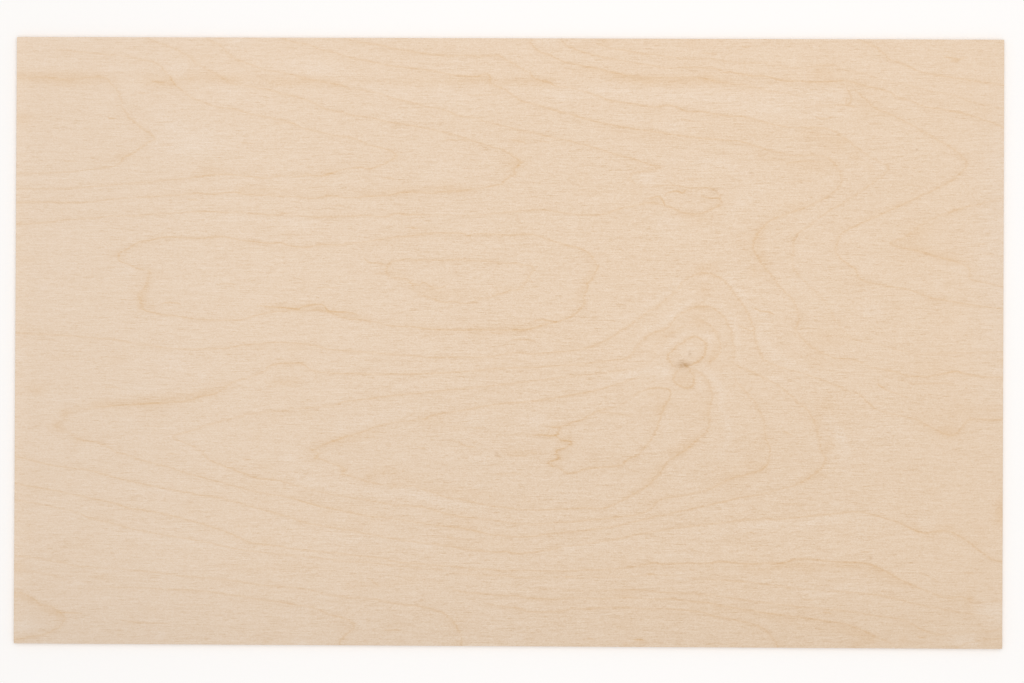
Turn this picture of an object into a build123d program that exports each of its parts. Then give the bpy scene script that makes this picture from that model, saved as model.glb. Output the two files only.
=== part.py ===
import os

from build123d import *

# A thin sheet of plywood lying flat, in millimetres. X runs along the grain of the face
# veneer, Y across it, and Z up. The origin is the centre of the underside.

# The panel as the saw trims it, all plies together
sheet_length = 650.0
sheet_width = 400.0

# The three plies. The outer two start as thick as the core and lose a little to sanding.
back_veneer_thickness = 1.25
core_veneer_thickness = 1.5
face_veneer_thickness = 1.25

# Sanding takes the sharpness off the outer edges of the two outer plies
eased_edge = 0.2

# The plies from the underside up: name, thickness and the outer faces that were sanded
plies = [
    ("back_veneer", back_veneer_thickness, ["underside"]),
    ("core_veneer", core_veneer_thickness, []),
    ("face_veneer", face_veneer_thickness, ["top"]),
]


def veneer(underside_height, thickness, sanded):
    """One peeled veneer, trimmed flush with the others, its sanded outer edges eased."""
    with BuildPart() as ply:
        with BuildSketch(Plane.XY.offset(underside_height)):
            Rectangle(sheet_length, sheet_width)
        extrude(amount=thickness)
        faces_up = ply.faces().sort_by(Axis.Z)
        outer = []
        if "underside" in sanded:
            outer += faces_up[0].edges()
        if "top" in sanded:
            outer += faces_up[-1].edges()
        if outer:
            chamfer(outer, length=eased_edge)
    return ply.part


os.makedirs("parts", exist_ok=True)
height = 0.0
for name, thickness, sanded in plies:
    export_step(veneer(height, thickness, sanded), f"parts/{name}.step")
    height += thickness
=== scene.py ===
"""Dresses the three plies of a plywood sheet: wood, the figure of the face, sawn edges, and a stage."""

import math

import bpy
import numpy as np
from bpy.props import FloatProperty, FloatVectorProperty, IntProperty, PointerProperty
from mathutils import Euler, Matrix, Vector, kdtree


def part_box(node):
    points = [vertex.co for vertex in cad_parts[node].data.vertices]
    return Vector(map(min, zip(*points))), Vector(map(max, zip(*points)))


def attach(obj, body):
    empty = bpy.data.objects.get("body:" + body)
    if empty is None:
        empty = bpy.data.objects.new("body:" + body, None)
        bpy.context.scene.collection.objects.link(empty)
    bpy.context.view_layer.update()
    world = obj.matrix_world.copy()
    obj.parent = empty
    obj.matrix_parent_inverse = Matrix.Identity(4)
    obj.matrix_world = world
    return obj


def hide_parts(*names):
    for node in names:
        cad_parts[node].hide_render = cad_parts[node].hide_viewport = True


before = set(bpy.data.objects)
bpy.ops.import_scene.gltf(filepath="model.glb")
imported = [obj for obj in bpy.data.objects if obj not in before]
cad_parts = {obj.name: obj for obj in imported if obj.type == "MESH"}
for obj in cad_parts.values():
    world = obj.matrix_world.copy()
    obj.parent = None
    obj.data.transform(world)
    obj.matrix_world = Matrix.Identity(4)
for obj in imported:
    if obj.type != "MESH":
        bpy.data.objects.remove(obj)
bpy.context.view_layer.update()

bl_info = {
    "name": "Plywood Sheet",
    "version": (1, 0, 0),
    "blender": (4, 5, 0),
    "location": "View3D > Sidebar > Plywood",
    "description": "Models and finishes the plies of a plywood sheet",
    "category": "Object",
}

# One millimetre, in the metres of the frame
MM = 0.001

# The photograph's frame, in pixels
PHOTO_WIDTH = 1024
PHOTO_HEIGHT = 683

# The sheet and its plies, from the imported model
FACE_LOW, FACE_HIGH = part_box("face_veneer")
CORE_LOW, CORE_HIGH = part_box("core_veneer")
BACK_LOW, BACK_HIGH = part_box("back_veneer")
SHEET_LENGTH = FACE_HIGH.x - FACE_LOW.x
SHEET_WIDTH = FACE_HIGH.y - FACE_LOW.y
GLUE_HEIGHTS = (CORE_LOW.z, CORE_HIGH.z)

# The layers of a ply's mesh that keep its ring lines, short marks, bands and patches, slow painted light and
# shade, and coarseness. Ring lines that lie side by side are in different layers.
RING_LAYERS = ("rings_1", "rings_2", "rings_3", "rings_4")
MARK_LAYER = "marks"
TONE_LAYER = "tone"
PAINTED_LIGHT_LAYER = "painted_light"
COARSE_LAYER = "coarse"

# The ring lines of the face, as pixels of the photograph. A third number is how dark the line is from that
# point on, and a line that ends where it starts is a closed one.
FACE_RINGS = {
    # The fan at the upper left
    "fan_1": [
        (8, 77, 0.4), (18, 76.6), (32, 78), (38, 77, 0.45), (52, 78, 0.55), (72, 80), (82, 78, 0.45),
        (102, 77, 0.8), (108, 79.5, 0.65), (110, 82.5), (113, 85), (118, 91), (121, 99), (122, 105),
        (125, 111, 1), (130, 118), (137, 123.5), (143, 129), (150, 134), (155, 138), (147, 143),
        (142, 147), (135, 152), (125, 157, 1.2), (117, 165, 0.6), (93, 169), (68, 172), (8, 174)
    ],
    "fan_2": [
        (60, 50, 0.6), (82, 52), (113, 55), (130, 57), (148, 61), (158, 64, 0.8), (164, 70, 0.95),
        (168, 75, 1), (172, 81, 1.35), (176, 86, 1.05), (182, 90, 0.8), (192, 98), (203, 102), (218, 107),
        (233, 108.5), (247, 113), (260, 116), (290, 122), (303, 128), (320, 132), (337, 136), (350, 137),
        (361, 141), (373, 146), (383, 148), (392, 151), (396, 156, 1), (390, 161), (384, 164, 1.2),
        (378, 166), (370, 169, 1), (360, 167.2, 1.1), (352, 168, 0.8), (344, 169.6, 0.6), (336, 172, 0.9),
        (330, 174, 1.4), (320, 176, 1), (308, 175, 1.1), (296, 176, 0.5), (288, 175), (280, 176, 0.8),
        (270, 177.6, 0.7), (262, 178), (250, 176.4, 0.8), (240, 175.6), (227, 174.8, 1.2), (206, 175.5),
        (190, 178, 0.7), (168, 180), (152, 182), (123, 184), (90, 187), (68, 188.5), (8, 189)
    ],
    "fan_3": [
        (145, 36, 0.8), (152, 40), (168, 46), (182, 52), (190, 57, 0.55), (197, 63.5), (205, 68.5),
        (215, 73.5), (225, 79), (233, 84), (243, 85), (257, 88, 0.8), (270, 90), (283, 94), (297, 97),
        (310, 101), (320, 106.5), (330, 110), (342, 112), (353, 115), (370, 117), (383, 121),
        (392, 122.4, 1), (400, 123.6), (412, 125.4, 1.1), (420, 127, 0.8), (434, 129.6), (444, 132),
        (454, 135), (464, 138), (476, 142), (493, 147), (505, 151), (512, 155), (518, 160, 1.2),
        (522, 163), (514, 169), (516, 173.5), (507, 178.5), (502, 183.5), (492, 186), (475, 189, 0.7),
        (460, 191, 1.2), (450, 191.6, 1.3), (440, 192, 0.8), (430, 193.6, 0.7), (420, 192.4),
        (406, 192, 1.1), (398, 193.6), (388, 195.2, 0.9), (376, 196, 1.1), (366, 196.6),
        (356, 197.6, 0.8), (344, 197.6), (334, 196, 1), (324, 196.4, 1.1), (318, 198, 0.9), (308, 198),
        (296, 196.4, 0.6), (280, 195.6), (262, 195, 0.9), (246, 194.4), (233, 192.4, 1),
        (212, 194.4, 0.9), (196, 193.5), (185, 194.5, 0.6), (172, 195, 0.9), (150, 197),
        (140, 197.5, 0.6), (113, 199.5, 0.8), (95, 201.5, 0.6), (75, 203, 0.9), (43, 202), (8, 203, 0.6)
    ],
    "fan_4": [
        (205, 36, 0.74), (213, 42), (220, 45), (225, 51), (232, 57), (240, 61), (248, 63.5), (260, 68),
        (273, 71), (290, 74), (307, 78.5), (318, 81), (330, 83), (342, 85), (353, 89), (360, 90),
        (380, 93.6), (392, 98), (404, 100.6, 0.83), (416, 104), (426, 106.4), (438, 108), (450, 112),
        (456, 115), (466, 116.6, 0.64), (476, 118), (488, 122.4, 0.74), (500, 125), (512, 128),
        (524, 131), (536, 133), (542, 135, 1.01), (554, 137.6, 0.74), (566, 140, 0.92), (580, 143.5),
        (603, 150), (612, 153.5), (623, 156), (637, 160), (650, 165, 1.1), (661, 167, 0.92),
        (646, 171, 0.74), (634, 173), (629, 178), (637, 184, 0.28), (648, 187, 0.18), (658, 186, 0.55),
        (670, 185, 0.64), (692, 188, 0.83), (711, 188, 1.1), (717, 192, 0.92), (721, 203), (708, 211),
        (698, 214, 1.1), (684, 213), (668, 206, 0.92), (650, 203), (633, 206, 0.83), (620, 208.5),
        (612, 211), (600, 215), (587, 215), (570, 214), (557, 212), (542, 210), (520, 211),
        (500, 213, 0.74), (478, 215, 0.46), (440, 215, 0.46), (426, 215, 0.55), (416, 214.6, 0.92),
        (406, 215, 1.01), (397, 213.6, 1.1), (390, 216, 1.01), (380, 216.6, 0.74), (366, 215.6, 0.92),
        (352, 216), (340, 216.6, 0.74), (328, 217.4, 0.92), (320, 217.4), (308, 217, 0.74),
        (294, 215.5, 0.37), (286, 213.6, 0.92), (274, 215, 0.83), (260, 214), (252, 213.6, 0.74),
        (240, 212.4, 0.55), (224, 212.4, 0.74), (212, 211.6, 0.92), (188, 212), (173, 213, 0.64),
        (152, 214), (135, 216), (113, 216), (97, 218), (77, 219), (62, 220, 0.92), (43, 223),
        (8, 224, 0.64)
    ],
    "fan_5": [
        (285, 39, 0.85), (293, 42), (310, 45), (320, 49.5), (333, 52), (353, 58), (367, 61), (380, 63.6),
        (392, 65.6), (406, 67.6, 0.95), (420, 69.4), (434, 70.6), (446, 73.4), (456, 75.6, 0.9),
        (464, 76, 1.2), (476, 76.4), (488, 74.4, 1.15), (490, 79), (491.4, 83.6, 1.05), (498, 86, 0.9),
        (506, 90.4), (514, 95.6, 1), (520, 100), (524, 102, 1.2), (534, 104, 0.85), (546, 107.6, 1),
        (558, 111), (570, 114), (587, 119), (603, 123), (623, 127), (643, 130.5), (665, 133), (672, 134),
        (700, 138), (742, 142), (765, 149, 0.75), (790, 155, 0.65), (827, 157), (834, 163, 0.85),
        (841, 173), (842, 182), (829, 196, 1.1), (807, 207, 0.9), (783, 215, 0.85), (767, 223, 1),
        (757, 235, 1.2), (753, 246), (760, 261, 1), (779, 285, 0.85), (796, 306, 0.9), (799, 318),
        (797, 331), (808, 344, 0.85), (824, 354), (834, 358), (842, 358.4, 1.3), (850, 359, 0.9),
        (860, 361.5, 0.65), (868, 366, 0.55), (880, 369, 0.9), (890, 370.6, 1.2), (898, 372.6, 0.9),
        (906, 375.6), (918, 376.6), (928, 376.4, 0.85), (938, 374.6, 1), (946, 373, 1.4),
        (956, 371.6, 1.2), (964, 373.6, 0.9), (976, 375.6), (990, 377), (1010, 377)
    ],
    "fan_6": [
        (350, 40, 0.85), (363, 42.5), (380, 45, 0.95), (390, 47.6), (400, 49.6), (410, 51.6), (428, 54),
        (440, 55, 1.1), (449, 56, 0.85), (464, 55), (478, 56.4, 0.9), (488, 55.6), (500, 56, 1),
        (504, 59, 0.8), (511, 62, 1.1), (520, 67, 0.8), (528, 72), (533, 77, 1.2), (540, 80, 1.6),
        (550, 82.5, 1.5), (556, 86, 0.7), (566, 87, 0.75), (580, 90), (592, 94, 1), (600, 96.4),
        (610, 100.4), (618, 102), (630, 103.5), (642, 105), (655, 107), (665, 105, 1.1), (673, 106),
        (687, 111), (700, 111.5, 1), (710, 113), (730, 116), (743, 116.5), (750, 118.5), (768, 123),
        (785, 126.5), (797, 127.5, 0.9), (827, 128.5, 0.75), (843, 137), (860, 150), (880, 163),
        (889, 168, 0.9), (873, 183, 0.75), (850, 199, 0.65), (826, 213, 0.85), (805, 229, 0.65),
        (796, 236, 1.15), (793, 252, 0.7), (795, 270), (808, 285, 0.5), (822, 298), (838, 323),
        (848, 336), (880, 345), (915, 353), (950, 353), (1010, 352)
    ],
    "fan_7": [
        (530, 38, 1.1), (532, 44), (536, 49), (540, 51.6), (550, 55), (558, 59.6), (566, 62.4),
        (580, 65, 0.95), (590, 67), (600, 69), (610, 71.6, 0.9), (618, 73.6, 1.25), (630, 76, 0.65),
        (695, 77.7), (703, 78, 1.1), (710, 80), (716, 81.5, 1.15), (723, 82.7, 0.55), (743, 85.2),
        (758, 88), (765, 90.2, 0.7), (772, 91.8, 0.55), (790, 93.5), (797, 94.7), (817, 95.2, 0.25),
        (840, 93, 0.09), (850, 90, 0.18), (855, 90.2, 0.35), (860, 95.2, 0.85), (865, 98.5), (870, 103.5),
        (874, 107.7), (880, 110.2), (887, 112.7), (898, 118), (908, 123), (940, 141), (960, 154),
        (967, 164, 0.9), (955, 178), (915, 198.5), (870, 219.5), (840, 236), (837, 254, 1),
        (856, 270, 1.35), (860, 279, 0.95), (882, 285), (900, 288), (913, 291), (923, 294), (930, 298),
        (940, 299), (960, 303), (1010, 310)
    ],
    "fan_8": [
        (562, 40, 0.9), (566, 45), (570, 47), (580, 51, 1.1), (590, 54, 0.9), (600, 56.4, 1.1),
        (610, 58.4, 0.8), (627, 61.5), (642, 64.3), (652, 65.7), (663, 67.7), (688, 67.3), (702, 67.7),
        (715, 68.5), (721, 70.2), (725, 72.7, 1.1), (730, 71.8), (738, 73.5), (753, 76), (763, 76),
        (775, 78.5, 1.3), (787, 81, 1), (797, 80.7), (810, 81.8, 1.2), (837, 81), (848, 81, 0.7),
        (860, 84.3, 0.9), (877, 88.5), (890, 92), (898, 97), (910, 100), (927, 107), (943, 109),
        (957, 112), (977, 117.5), (990, 122), (1010, 129)
    ],
    "fan_9": [
        (597, 43.5, 0.5), (610, 48), (623, 50, 0.8), (637, 52.7, 0.9), (650, 54.3, 0.6), (660, 55.2),
        (670, 56.8), (682, 58), (697, 59, 0.4), (708, 58.5), (720, 60.2), (740, 63, 0.5), (770, 63),
        (777, 64.7), (788, 67.7, 0.6), (807, 67.7, 0.3), (815, 66.3, 0.6), (828, 64.7, 0.7),
        (838, 66, 0.3), (848, 71, 0.5), (857, 72), (875, 77.7, 0.4), (887, 81), (898, 83), (915, 87),
        (935, 92), (953, 95), (968, 101), (990, 106), (1010, 109)
    ],
    "fan_10": [
        (850, 36, 0.84), (865, 42), (877, 47.7), (881, 51.3, 1.12), (885, 54.3, 0.84), (890, 59.3),
        (897, 61.8), (922, 72), (943, 76, 1.02), (968, 80, 0.74), (1010, 86)
    ],
    # The long closed loop left of the middle, and the small one in it
    "island": [
        (118, 255, 1.1), (120, 252.5), (125, 250), (130, 247.5), (136, 243.3), (142, 241), (150, 240.3),
        (155, 238.7), (172, 237), (193, 238), (223, 237), (232, 238.3, 0.9), (242, 240.3),
        (253, 241.3, 1.2), (262, 242.5), (270, 243.3, 1), (280, 243), (295, 246.7), (308, 247),
        (317, 245.3), (327, 244.2), (337, 245.3), (347, 243.7, 0.75), (358, 243), (368, 241.3),
        (377, 239.7, 1), (388, 238), (400, 237), (418, 234.7), (427, 233.7), (448, 233, 1.1),
        (463, 233.7), (468, 235.8), (473, 234.2), (493, 234.2), (507, 235), (528, 234.2, 1), (538, 235.8),
        (550, 240), (563, 244.2), (568, 245.3, 1.3), (575, 246.7, 1.1), (585, 250.8), (590, 254.2),
        (593, 258.3), (596, 262.5), (598, 269, 1.2), (595, 273.3), (592, 280), (588, 283.3), (586, 291.7),
        (584, 296.7), (585, 300.8), (583, 305), (579, 310), (574, 315), (560, 320.8, 1), (552, 323.3),
        (545, 325, 1.2), (538, 326.7), (532, 328.7), (523, 330, 1.45), (515, 330, 1.3), (505, 330.2, 1),
        (483, 329.7), (452, 330, 1.1), (440, 329.7), (427, 328.7), (415, 327), (400, 326.7, 0.75),
        (390, 325.3), (380, 323), (370, 321.3), (360, 319.7, 0.9), (347, 318.7), (340, 316.3),
        (333, 313.7), (325, 310.8), (310, 310.3), (295, 310.3, 0.75), (283, 310.8), (263, 313.7),
        (247, 318), (240, 319.7, 1), (220, 320), (200, 319.2), (187, 318), (175, 315.8), (163, 315),
        (153, 312.5), (145, 310.3, 1.1), (141, 308.3, 0.6), (143, 305), (140, 300), (138, 295),
        (144, 289), (147, 282.5), (148, 276.7), (150, 272.5, 0.65), (145, 270, 0.45), (137, 268.3, 1),
        (130, 265.3), (120, 260.8), (118, 255)
    ],
    "island_top": [
        (387, 268, 0.9), (390, 262.5), (398, 260.3), (407, 259.2), (417, 260.5), (422, 259.7),
        (438, 260.3), (457, 259.2), (475, 260.3), (487, 260.8), (497, 262.5, 0.7), (507, 263.3),
        (515, 263.3, 1.3), (522, 264.7, 1.1), (530, 265.8, 0.9), (535, 270), (531, 274.2), (529, 278.3),
        (524, 283.3), (523, 287.5), (518, 289.7), (510, 290, 0.8), (503, 293.7, 1.1), (498, 293.7),
        (493, 296.3, 0.7), (488, 298.3), (480, 298.7), (472, 302.5, 0.9), (462, 303), (452, 301.3, 1.1),
        (447, 302.5), (438, 300.8), (427, 296.7, 1), (421, 295.5, 0.8), (415, 290, 0.2), (412, 284, 0.7),
        (407, 279.5), (398, 278), (390, 276.5, 0.7), (387, 272, 1), (387, 268)
    ],
    # The hoods over the knot, and the tongues that reach left of it
    "hood_1": [
        (8, 333, 0.7), (60, 335), (100, 338.3), (120, 340), (130, 342.5), (152, 345.3), (172, 348.7, 0.8),
        (225, 348.3), (233, 346.7), (243, 345), (257, 343.7), (275, 342.5), (298, 343.3), (308, 344.2),
        (320, 346.7), (330, 349.2), (350, 350.8), (365, 352), (383, 353.5), (410, 355.3), (428, 357.5),
        (458, 357), (488, 357), (498, 355.3), (508, 353), (520, 352.5), (532, 353.7), (547, 353),
        (560, 351.3, 1.15), (573, 350.3, 0.85), (583, 348.7), (592, 346.3), (600, 343), (608, 339.2),
        (615, 335), (620, 330.8), (625, 328.3), (632, 323.3), (638, 318.3), (643, 315.8), (648, 311.7),
        (655, 308.3), (662, 303), (670, 296), (678, 288, 0.8), (686, 279), (694, 275, 1), (702, 273),
        (712, 274.4, 1.1), (720, 278, 1), (728, 285), (734, 293, 0.9), (742, 303), (748, 313, 1.15),
        (752, 323, 1.1), (754, 333, 1), (756, 341), (759, 350, 0.9), (763, 358, 1), (770, 363, 0.85),
        (787, 369, 0.8), (814, 377), (842, 388, 0.9), (850, 392, 0.7), (859, 394, 0.8), (863, 398),
        (868, 403, 1.15), (871, 405.6, 1.35), (875, 409, 1), (882, 411.6, 0.7), (894, 414.4), (906, 417),
        (916, 419.5, 0.55), (926, 425, 0.7), (936, 430, 0.8), (950, 435.5, 0.9), (956, 434),
        (961, 427.5, 1), (968, 420.5, 1.1), (976, 419, 0.9), (990, 420, 1), (1010, 418.5)
    ],
    "hood_2": [
        (62, 420, 0.17), (66, 413, 0.25), (75, 409), (88, 408.5, 0.45), (100, 407, 0.55), (110, 406, 0.8),
        (124, 404.8, 0.75), (140, 404, 0.9), (150, 403.5, 1.1), (164, 403, 0.9), (176, 402, 0.8),
        (190, 400.5, 0.9), (199, 396.5, 0.8), (212, 394, 0.9), (223, 389, 0.8), (231, 383),
        (253, 376, 0.6), (264, 371, 0.7), (268, 367, 0.75), (277, 364, 1), (302, 364, 1.1),
        (311, 370, 0.75), (330, 373, 0.85), (360, 374, 1), (440, 373), (500, 368.5, 0.8), (527, 367.5),
        (550, 366), (580, 364), (608, 360.8), (630, 356.7, 1), (633, 352.5, 0.8), (637, 346.7),
        (640, 342.5), (645, 338.3), (650, 334.2, 0.9), (660, 330.6), (668, 327.5), (672, 322), (678, 316),
        (686, 311, 0.95), (694, 307.4, 1.05), (702, 306.6), (710, 307, 0.95), (716, 310), (723, 316, 0.9),
        (728, 323), (731, 332, 0.95), (733, 341, 0.8), (734, 349, 0.7), (734, 355), (732, 361, 0.45),
        (745, 369, 0.8), (757, 374, 0.85), (783, 389), (797, 402, 0.9), (810, 413, 0.8), (815, 424, 1.05),
        (819, 436), (821, 450, 0.8), (826, 460, 0.95), (816, 473, 1.15), (795, 485, 0.85), (778, 490),
        (750, 496), (738, 498, 1.4), (723, 502), (700, 507, 0.95), (650, 518), (610, 527), (570, 532),
        (550, 534), (521, 537), (488, 534), (467, 529, 1.25), (452, 527), (433, 525, 0.85), (395, 519),
        (368, 516), (330, 508, 0.95), (315, 505, 1.4), (287, 497, 0.85), (253, 491), (217, 481.5, 0.7),
        (194, 475), (184, 472.6), (174, 469), (164, 466, 0.8), (152, 463), (140, 460), (128, 455),
        (116, 452, 0.9), (110, 448), (104, 445, 0.95), (94, 442, 1.05), (80, 440, 0.65), (74, 437, 0.55),
        (70, 433, 0.5), (58, 431, 0.3), (57, 425, 0.17), (62, 420)
    ],
    "hood_3": [
        (173, 436, 0.65), (187, 432), (218, 422), (248, 414), (280, 411), (303, 408), (336, 405, 0.9),
        (344, 402, 1.1), (367, 399, 0.9), (395, 395, 0.95), (430, 392, 0.85), (480, 387), (540, 380, 0.6),
        (600, 373), (640, 366, 0.35), (653, 358, 0.45), (654, 347), (663, 339, 0.3), (680, 328, 0.35),
        (696, 320), (708, 324, 0.65), (717, 335, 0.85), (720, 347), (717, 357, 1), (708, 363, 0.55),
        (716, 368, 0.09), (730, 373, 0.3), (742, 388, 0.85), (756, 405), (763, 419, 1), (766, 437),
        (770, 452, 0.9), (764, 468, 1.2), (745, 475, 0.85), (728, 480), (710, 489), (685, 495),
        (660, 500), (646, 512, 0.8), (610, 518, 1.05), (567, 522, 0.8), (522, 524), (483, 519),
        (450, 515, 0.95), (427, 508, 1.05), (395, 505, 0.85), (371, 501), (336, 495, 0.55), (300, 487),
        (280, 481, 0.75), (253, 477, 1.1), (235, 470), (207, 458, 0.75), (200, 450, 0.55),
        (183, 442, 0.75), (173, 436)
    ],
    "hood_4": [
        (310, 449.4, 0.8), (316, 448, 0.7), (322, 445, 0.95), (330, 442, 1.15), (340, 439, 1.25),
        (347, 436, 0.95), (352, 435, 0.8), (362, 432), (370, 429.4), (376, 426.6), (384, 424.6),
        (392, 422.6, 0.7), (400, 421.4), (410, 420.6, 0.9), (420, 419, 0.65), (426, 418.6, 0.9),
        (432, 415.4, 1), (440, 414, 0.95), (450, 412), (464, 410), (476, 408), (488, 405.4),
        (500, 404, 1.15), (508, 403, 1.25), (518, 402.6, 1.1), (533, 401), (566, 396), (600, 389),
        (632, 379, 0.7), (655, 371, 0.2), (673, 367, 0.09), (684, 366, 0.18), (692, 369, 0.7),
        (698, 372, 0.9), (704, 376), (708, 382, 0.8), (711, 388), (712, 395), (709, 410, 0.95),
        (709, 428, 1.15), (698, 439, 1.05), (684, 451, 1.15), (668, 462, 0.95), (660, 473), (648, 485),
        (630, 496, 1.1), (605, 508, 1), (583, 508), (566, 509), (538, 510), (500, 507), (467, 501),
        (442, 496, 0.75), (436, 493, 0.6), (428, 491), (420, 488.6), (414, 486), (400, 486.6, 0.55),
        (386, 485.4), (374, 483.4, 0.8), (368, 482, 1.05), (358, 479, 0.95), (348, 475.4, 1.05),
        (341, 474, 0.95), (345, 470, 1.25), (340, 466, 0.95), (332, 463.4, 0.9), (322, 459.4),
        (315, 458, 1.05), (319, 454), (312, 451, 0.8), (310, 449.4)
    ],
    "knot_loop": [
        (671, 363, 1.25), (668, 358, 1.6), (669, 354, 1.45), (674, 348.5, 1.2), (682, 342.8),
        (688, 338.8, 1.25), (694, 336.8), (700, 338.4), (705, 343.5, 1.45), (705.7, 349, 1.6),
        (703.6, 356, 1.9), (699, 360.8), (692, 364.5, 1.6)
    ],
    "knot_foot": [
        (690, 370, 1.1), (692.5, 373), (694, 378, 1.2), (694.4, 383.3, 1.55), (692, 387, 1.6),
        (686, 388, 1.55), (678, 385, 1.25), (674, 380, 1.1), (674.4, 375), (677, 371, 0.95)
    ],
    "tongue": [
        (551, 427.5, 1.4), (558, 426.7, 1.3), (565, 425.3, 1.2), (573, 422), (582, 420, 1.1),
        (586, 417, 1), (600, 410, 0.9), (620, 405, 0.65), (640, 392, 0.8), (655, 388, 1.1), (669, 389.5),
        (671, 394, 1.3), (664, 408, 1.4), (659, 422, 1.2), (653, 437, 1), (643, 449), (639, 454),
        (628, 460, 1.1), (620, 465.3, 1.4), (608, 467, 1.1), (592, 468), (583, 469.7), (575, 472.5),
        (568, 473.3, 1.4), (562, 470, 1.1), (558, 467.5), (552, 465.8, 1.3), (548, 462.5, 1.5),
        (556, 459.7, 1.7), (560, 456.7, 1.5), (556, 454, 1.3), (557, 450.8, 1.7), (562, 449, 1.2),
        (567.5, 446.7, 1.3), (571, 442.5, 1.9), (567, 440.8), (561.7, 440.8, 1.3), (558, 438, 0.8),
        (556, 435.5, 1.4), (558, 432.5), (559, 429), (551, 427.5)
    ],
    # The rings below the knot, from edge to edge
    "sweep_1": [
        (1010, 563, 1.05), (992, 559), (986, 555), (978, 550), (970, 543), (962, 538), (954, 534),
        (948, 531.5), (940, 531), (932, 532), (926, 533.4, 1.15), (920, 532), (912, 529),
        (904, 525.4, 1.05), (896, 521.4), (888, 519), (876, 515.4), (864, 512.8, 0.95), (856, 511.8, 0.9),
        (844, 512.6), (832, 513.6), (820, 514.8), (810, 516), (800, 517.4), (786, 518.6), (766, 519.4),
        (750, 519.6), (736, 521), (720, 523), (700, 525), (640, 534), (620, 538.5, 1.1), (600, 542, 0.8),
        (588, 543.7), (575, 545), (565, 546.7), (557, 548.3, 1), (543, 550.8), (525, 553),
        (513, 553.3, 1.2), (505, 551.5, 1.1), (497, 552.5, 0.9), (485, 551.3), (473, 550.3), (462, 549),
        (448, 545.5), (424, 543), (400, 540), (377, 536), (353, 531), (334, 527.5), (305, 522.6),
        (289, 517), (262, 509.5), (241, 503.6), (220, 498), (200, 495), (178, 491), (157, 487),
        (137, 482.5), (117, 478), (103, 474), (87, 470), (62, 467), (40, 462.5), (20, 457.5), (8, 455)
    ],
    "sweep_2": [
        (8, 482, 0.85), (62, 492), (115, 503.6), (129, 508, 1.05), (150, 511), (177, 517), (196, 522),
        (215, 528), (234, 535, 0.85), (248, 542), (262, 544), (279, 546), (293, 549), (317, 551),
        (339, 553.6), (362, 556), (381, 558), (400, 562), (420, 564), (450, 566), (460, 567.5),
        (470, 568.7), (483, 568.7), (497, 570), (507, 570.8, 0.7), (514, 570, 1.15), (523, 570, 0.8),
        (545, 570.8), (573, 570.3), (588, 570), (603, 569.7), (613, 568.7), (623, 567.5), (640, 565.3),
        (647, 564.2, 1.05), (653, 562.5, 1.15), (660, 564.2), (675, 563.7, 0.95), (695, 563.3),
        (708, 563, 1.25), (718, 561.7), (751, 564), (765, 563, 0.95), (782, 563, 1.3), (797, 559, 1.15),
        (827, 561, 1.05), (863, 563), (873, 565, 1.25), (892, 575), (905, 582, 0.95), (930, 592, 0.8),
        (948, 598), (962, 597), (980, 602), (1010, 599)
    ],
    "sweep_3": [
        (1010, 620, 0.5), (965, 613), (925, 606, 0.75), (883, 596), (867, 594), (847, 592), (815, 590),
        (793, 588), (780, 586), (755, 583), (728, 580.5), (700, 579, 0.5), (683, 577), (657, 575),
        (640, 575.8), (623, 577), (607, 576.3), (588, 577.5), (567, 576.7), (543, 578, 0.6), (520, 577.5),
        (505, 575.8), (475, 575), (463, 574.2), (439, 569.5), (415, 567), (391, 565.5), (362, 562),
        (343, 561), (319, 558), (296, 556), (239, 549.5, 0.9), (219, 545), (198, 540.5), (177, 537),
        (153, 533), (131, 528.6), (112, 523, 0.7), (91, 518.6), (72, 511), (50, 506), (8, 499)
    ],
    "sweep_4": [
        (8, 556.5, 0.65), (28, 556.6), (38, 558.4), (52, 560.4), (62, 562.4), (74, 565.6), (88, 567),
        (104, 568.4), (120, 569), (136, 570.6, 0.75), (162, 573), (191, 577), (219, 579), (243, 582),
        (262, 585), (286, 587), (305, 589), (324, 594), (343, 597), (370, 598.5), (376, 599.5, 1.2),
        (382, 601, 0.85), (400, 604), (415, 606, 1.05), (429, 608), (443, 613), (450, 618.5),
        (455, 625, 1.2), (458, 630), (461, 634), (461, 650)
    ],
    "sweep_5": [
        (8, 569, 0.45), (28, 571), (54, 575.6), (64, 579, 0.25), (84, 587), (120, 587, 0.55), (148, 588),
        (160, 589, 0.7), (186, 590, 1.05), (212, 592, 0.7), (239, 596), (262, 600), (279, 602),
        (296, 605, 1.05), (315, 608, 0.8), (329, 614), (343, 618, 1.05), (350, 621), (354, 627),
        (348, 633), (341, 641), (338, 650)
    ],
    "sweep_6": [
        (455, 590, 0.8), (468, 593), (480, 593.3, 1), (490, 594.2, 0.7), (498, 595.8), (512, 595.3),
        (522, 597.5, 1), (537, 598.7, 1.3), (550, 599.2, 1), (560, 598.7, 0.7), (573, 597.5),
        (595, 598.7), (617, 598.3), (628, 597.5, 1), (638, 598, 0.7), (650, 599.2), (677, 599.2, 0.9),
        (687, 601.3), (697, 601.7, 1), (707, 602.5, 1.2), (720, 605.5, 1), (742, 609), (757, 612, 0.8),
        (773, 614, 1.2), (813, 619, 1), (848, 625), (866, 632, 1.2), (880, 639, 0.8), (890, 643, 0.5)
    ],
    "sweep_7": [
        (490, 604, 0.7), (503, 606.7), (517, 608, 1), (530, 611.7), (540, 612), (550, 611.7, 0.9),
        (567, 610), (573, 607, 0.8), (580, 608.7), (590, 608.7, 1.1), (600, 607.5, 0.8), (617, 607.5),
        (624, 607, 1.2), (640, 609, 0.6), (663, 608.3, 0.7), (673, 608.7, 0.9), (682, 610), (697, 611.7),
        (705, 613.3), (712, 615.3), (720, 616.7), (737, 620), (760, 627), (770, 634, 1.2), (780, 650)
    ],
    "sweep_8": [
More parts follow.
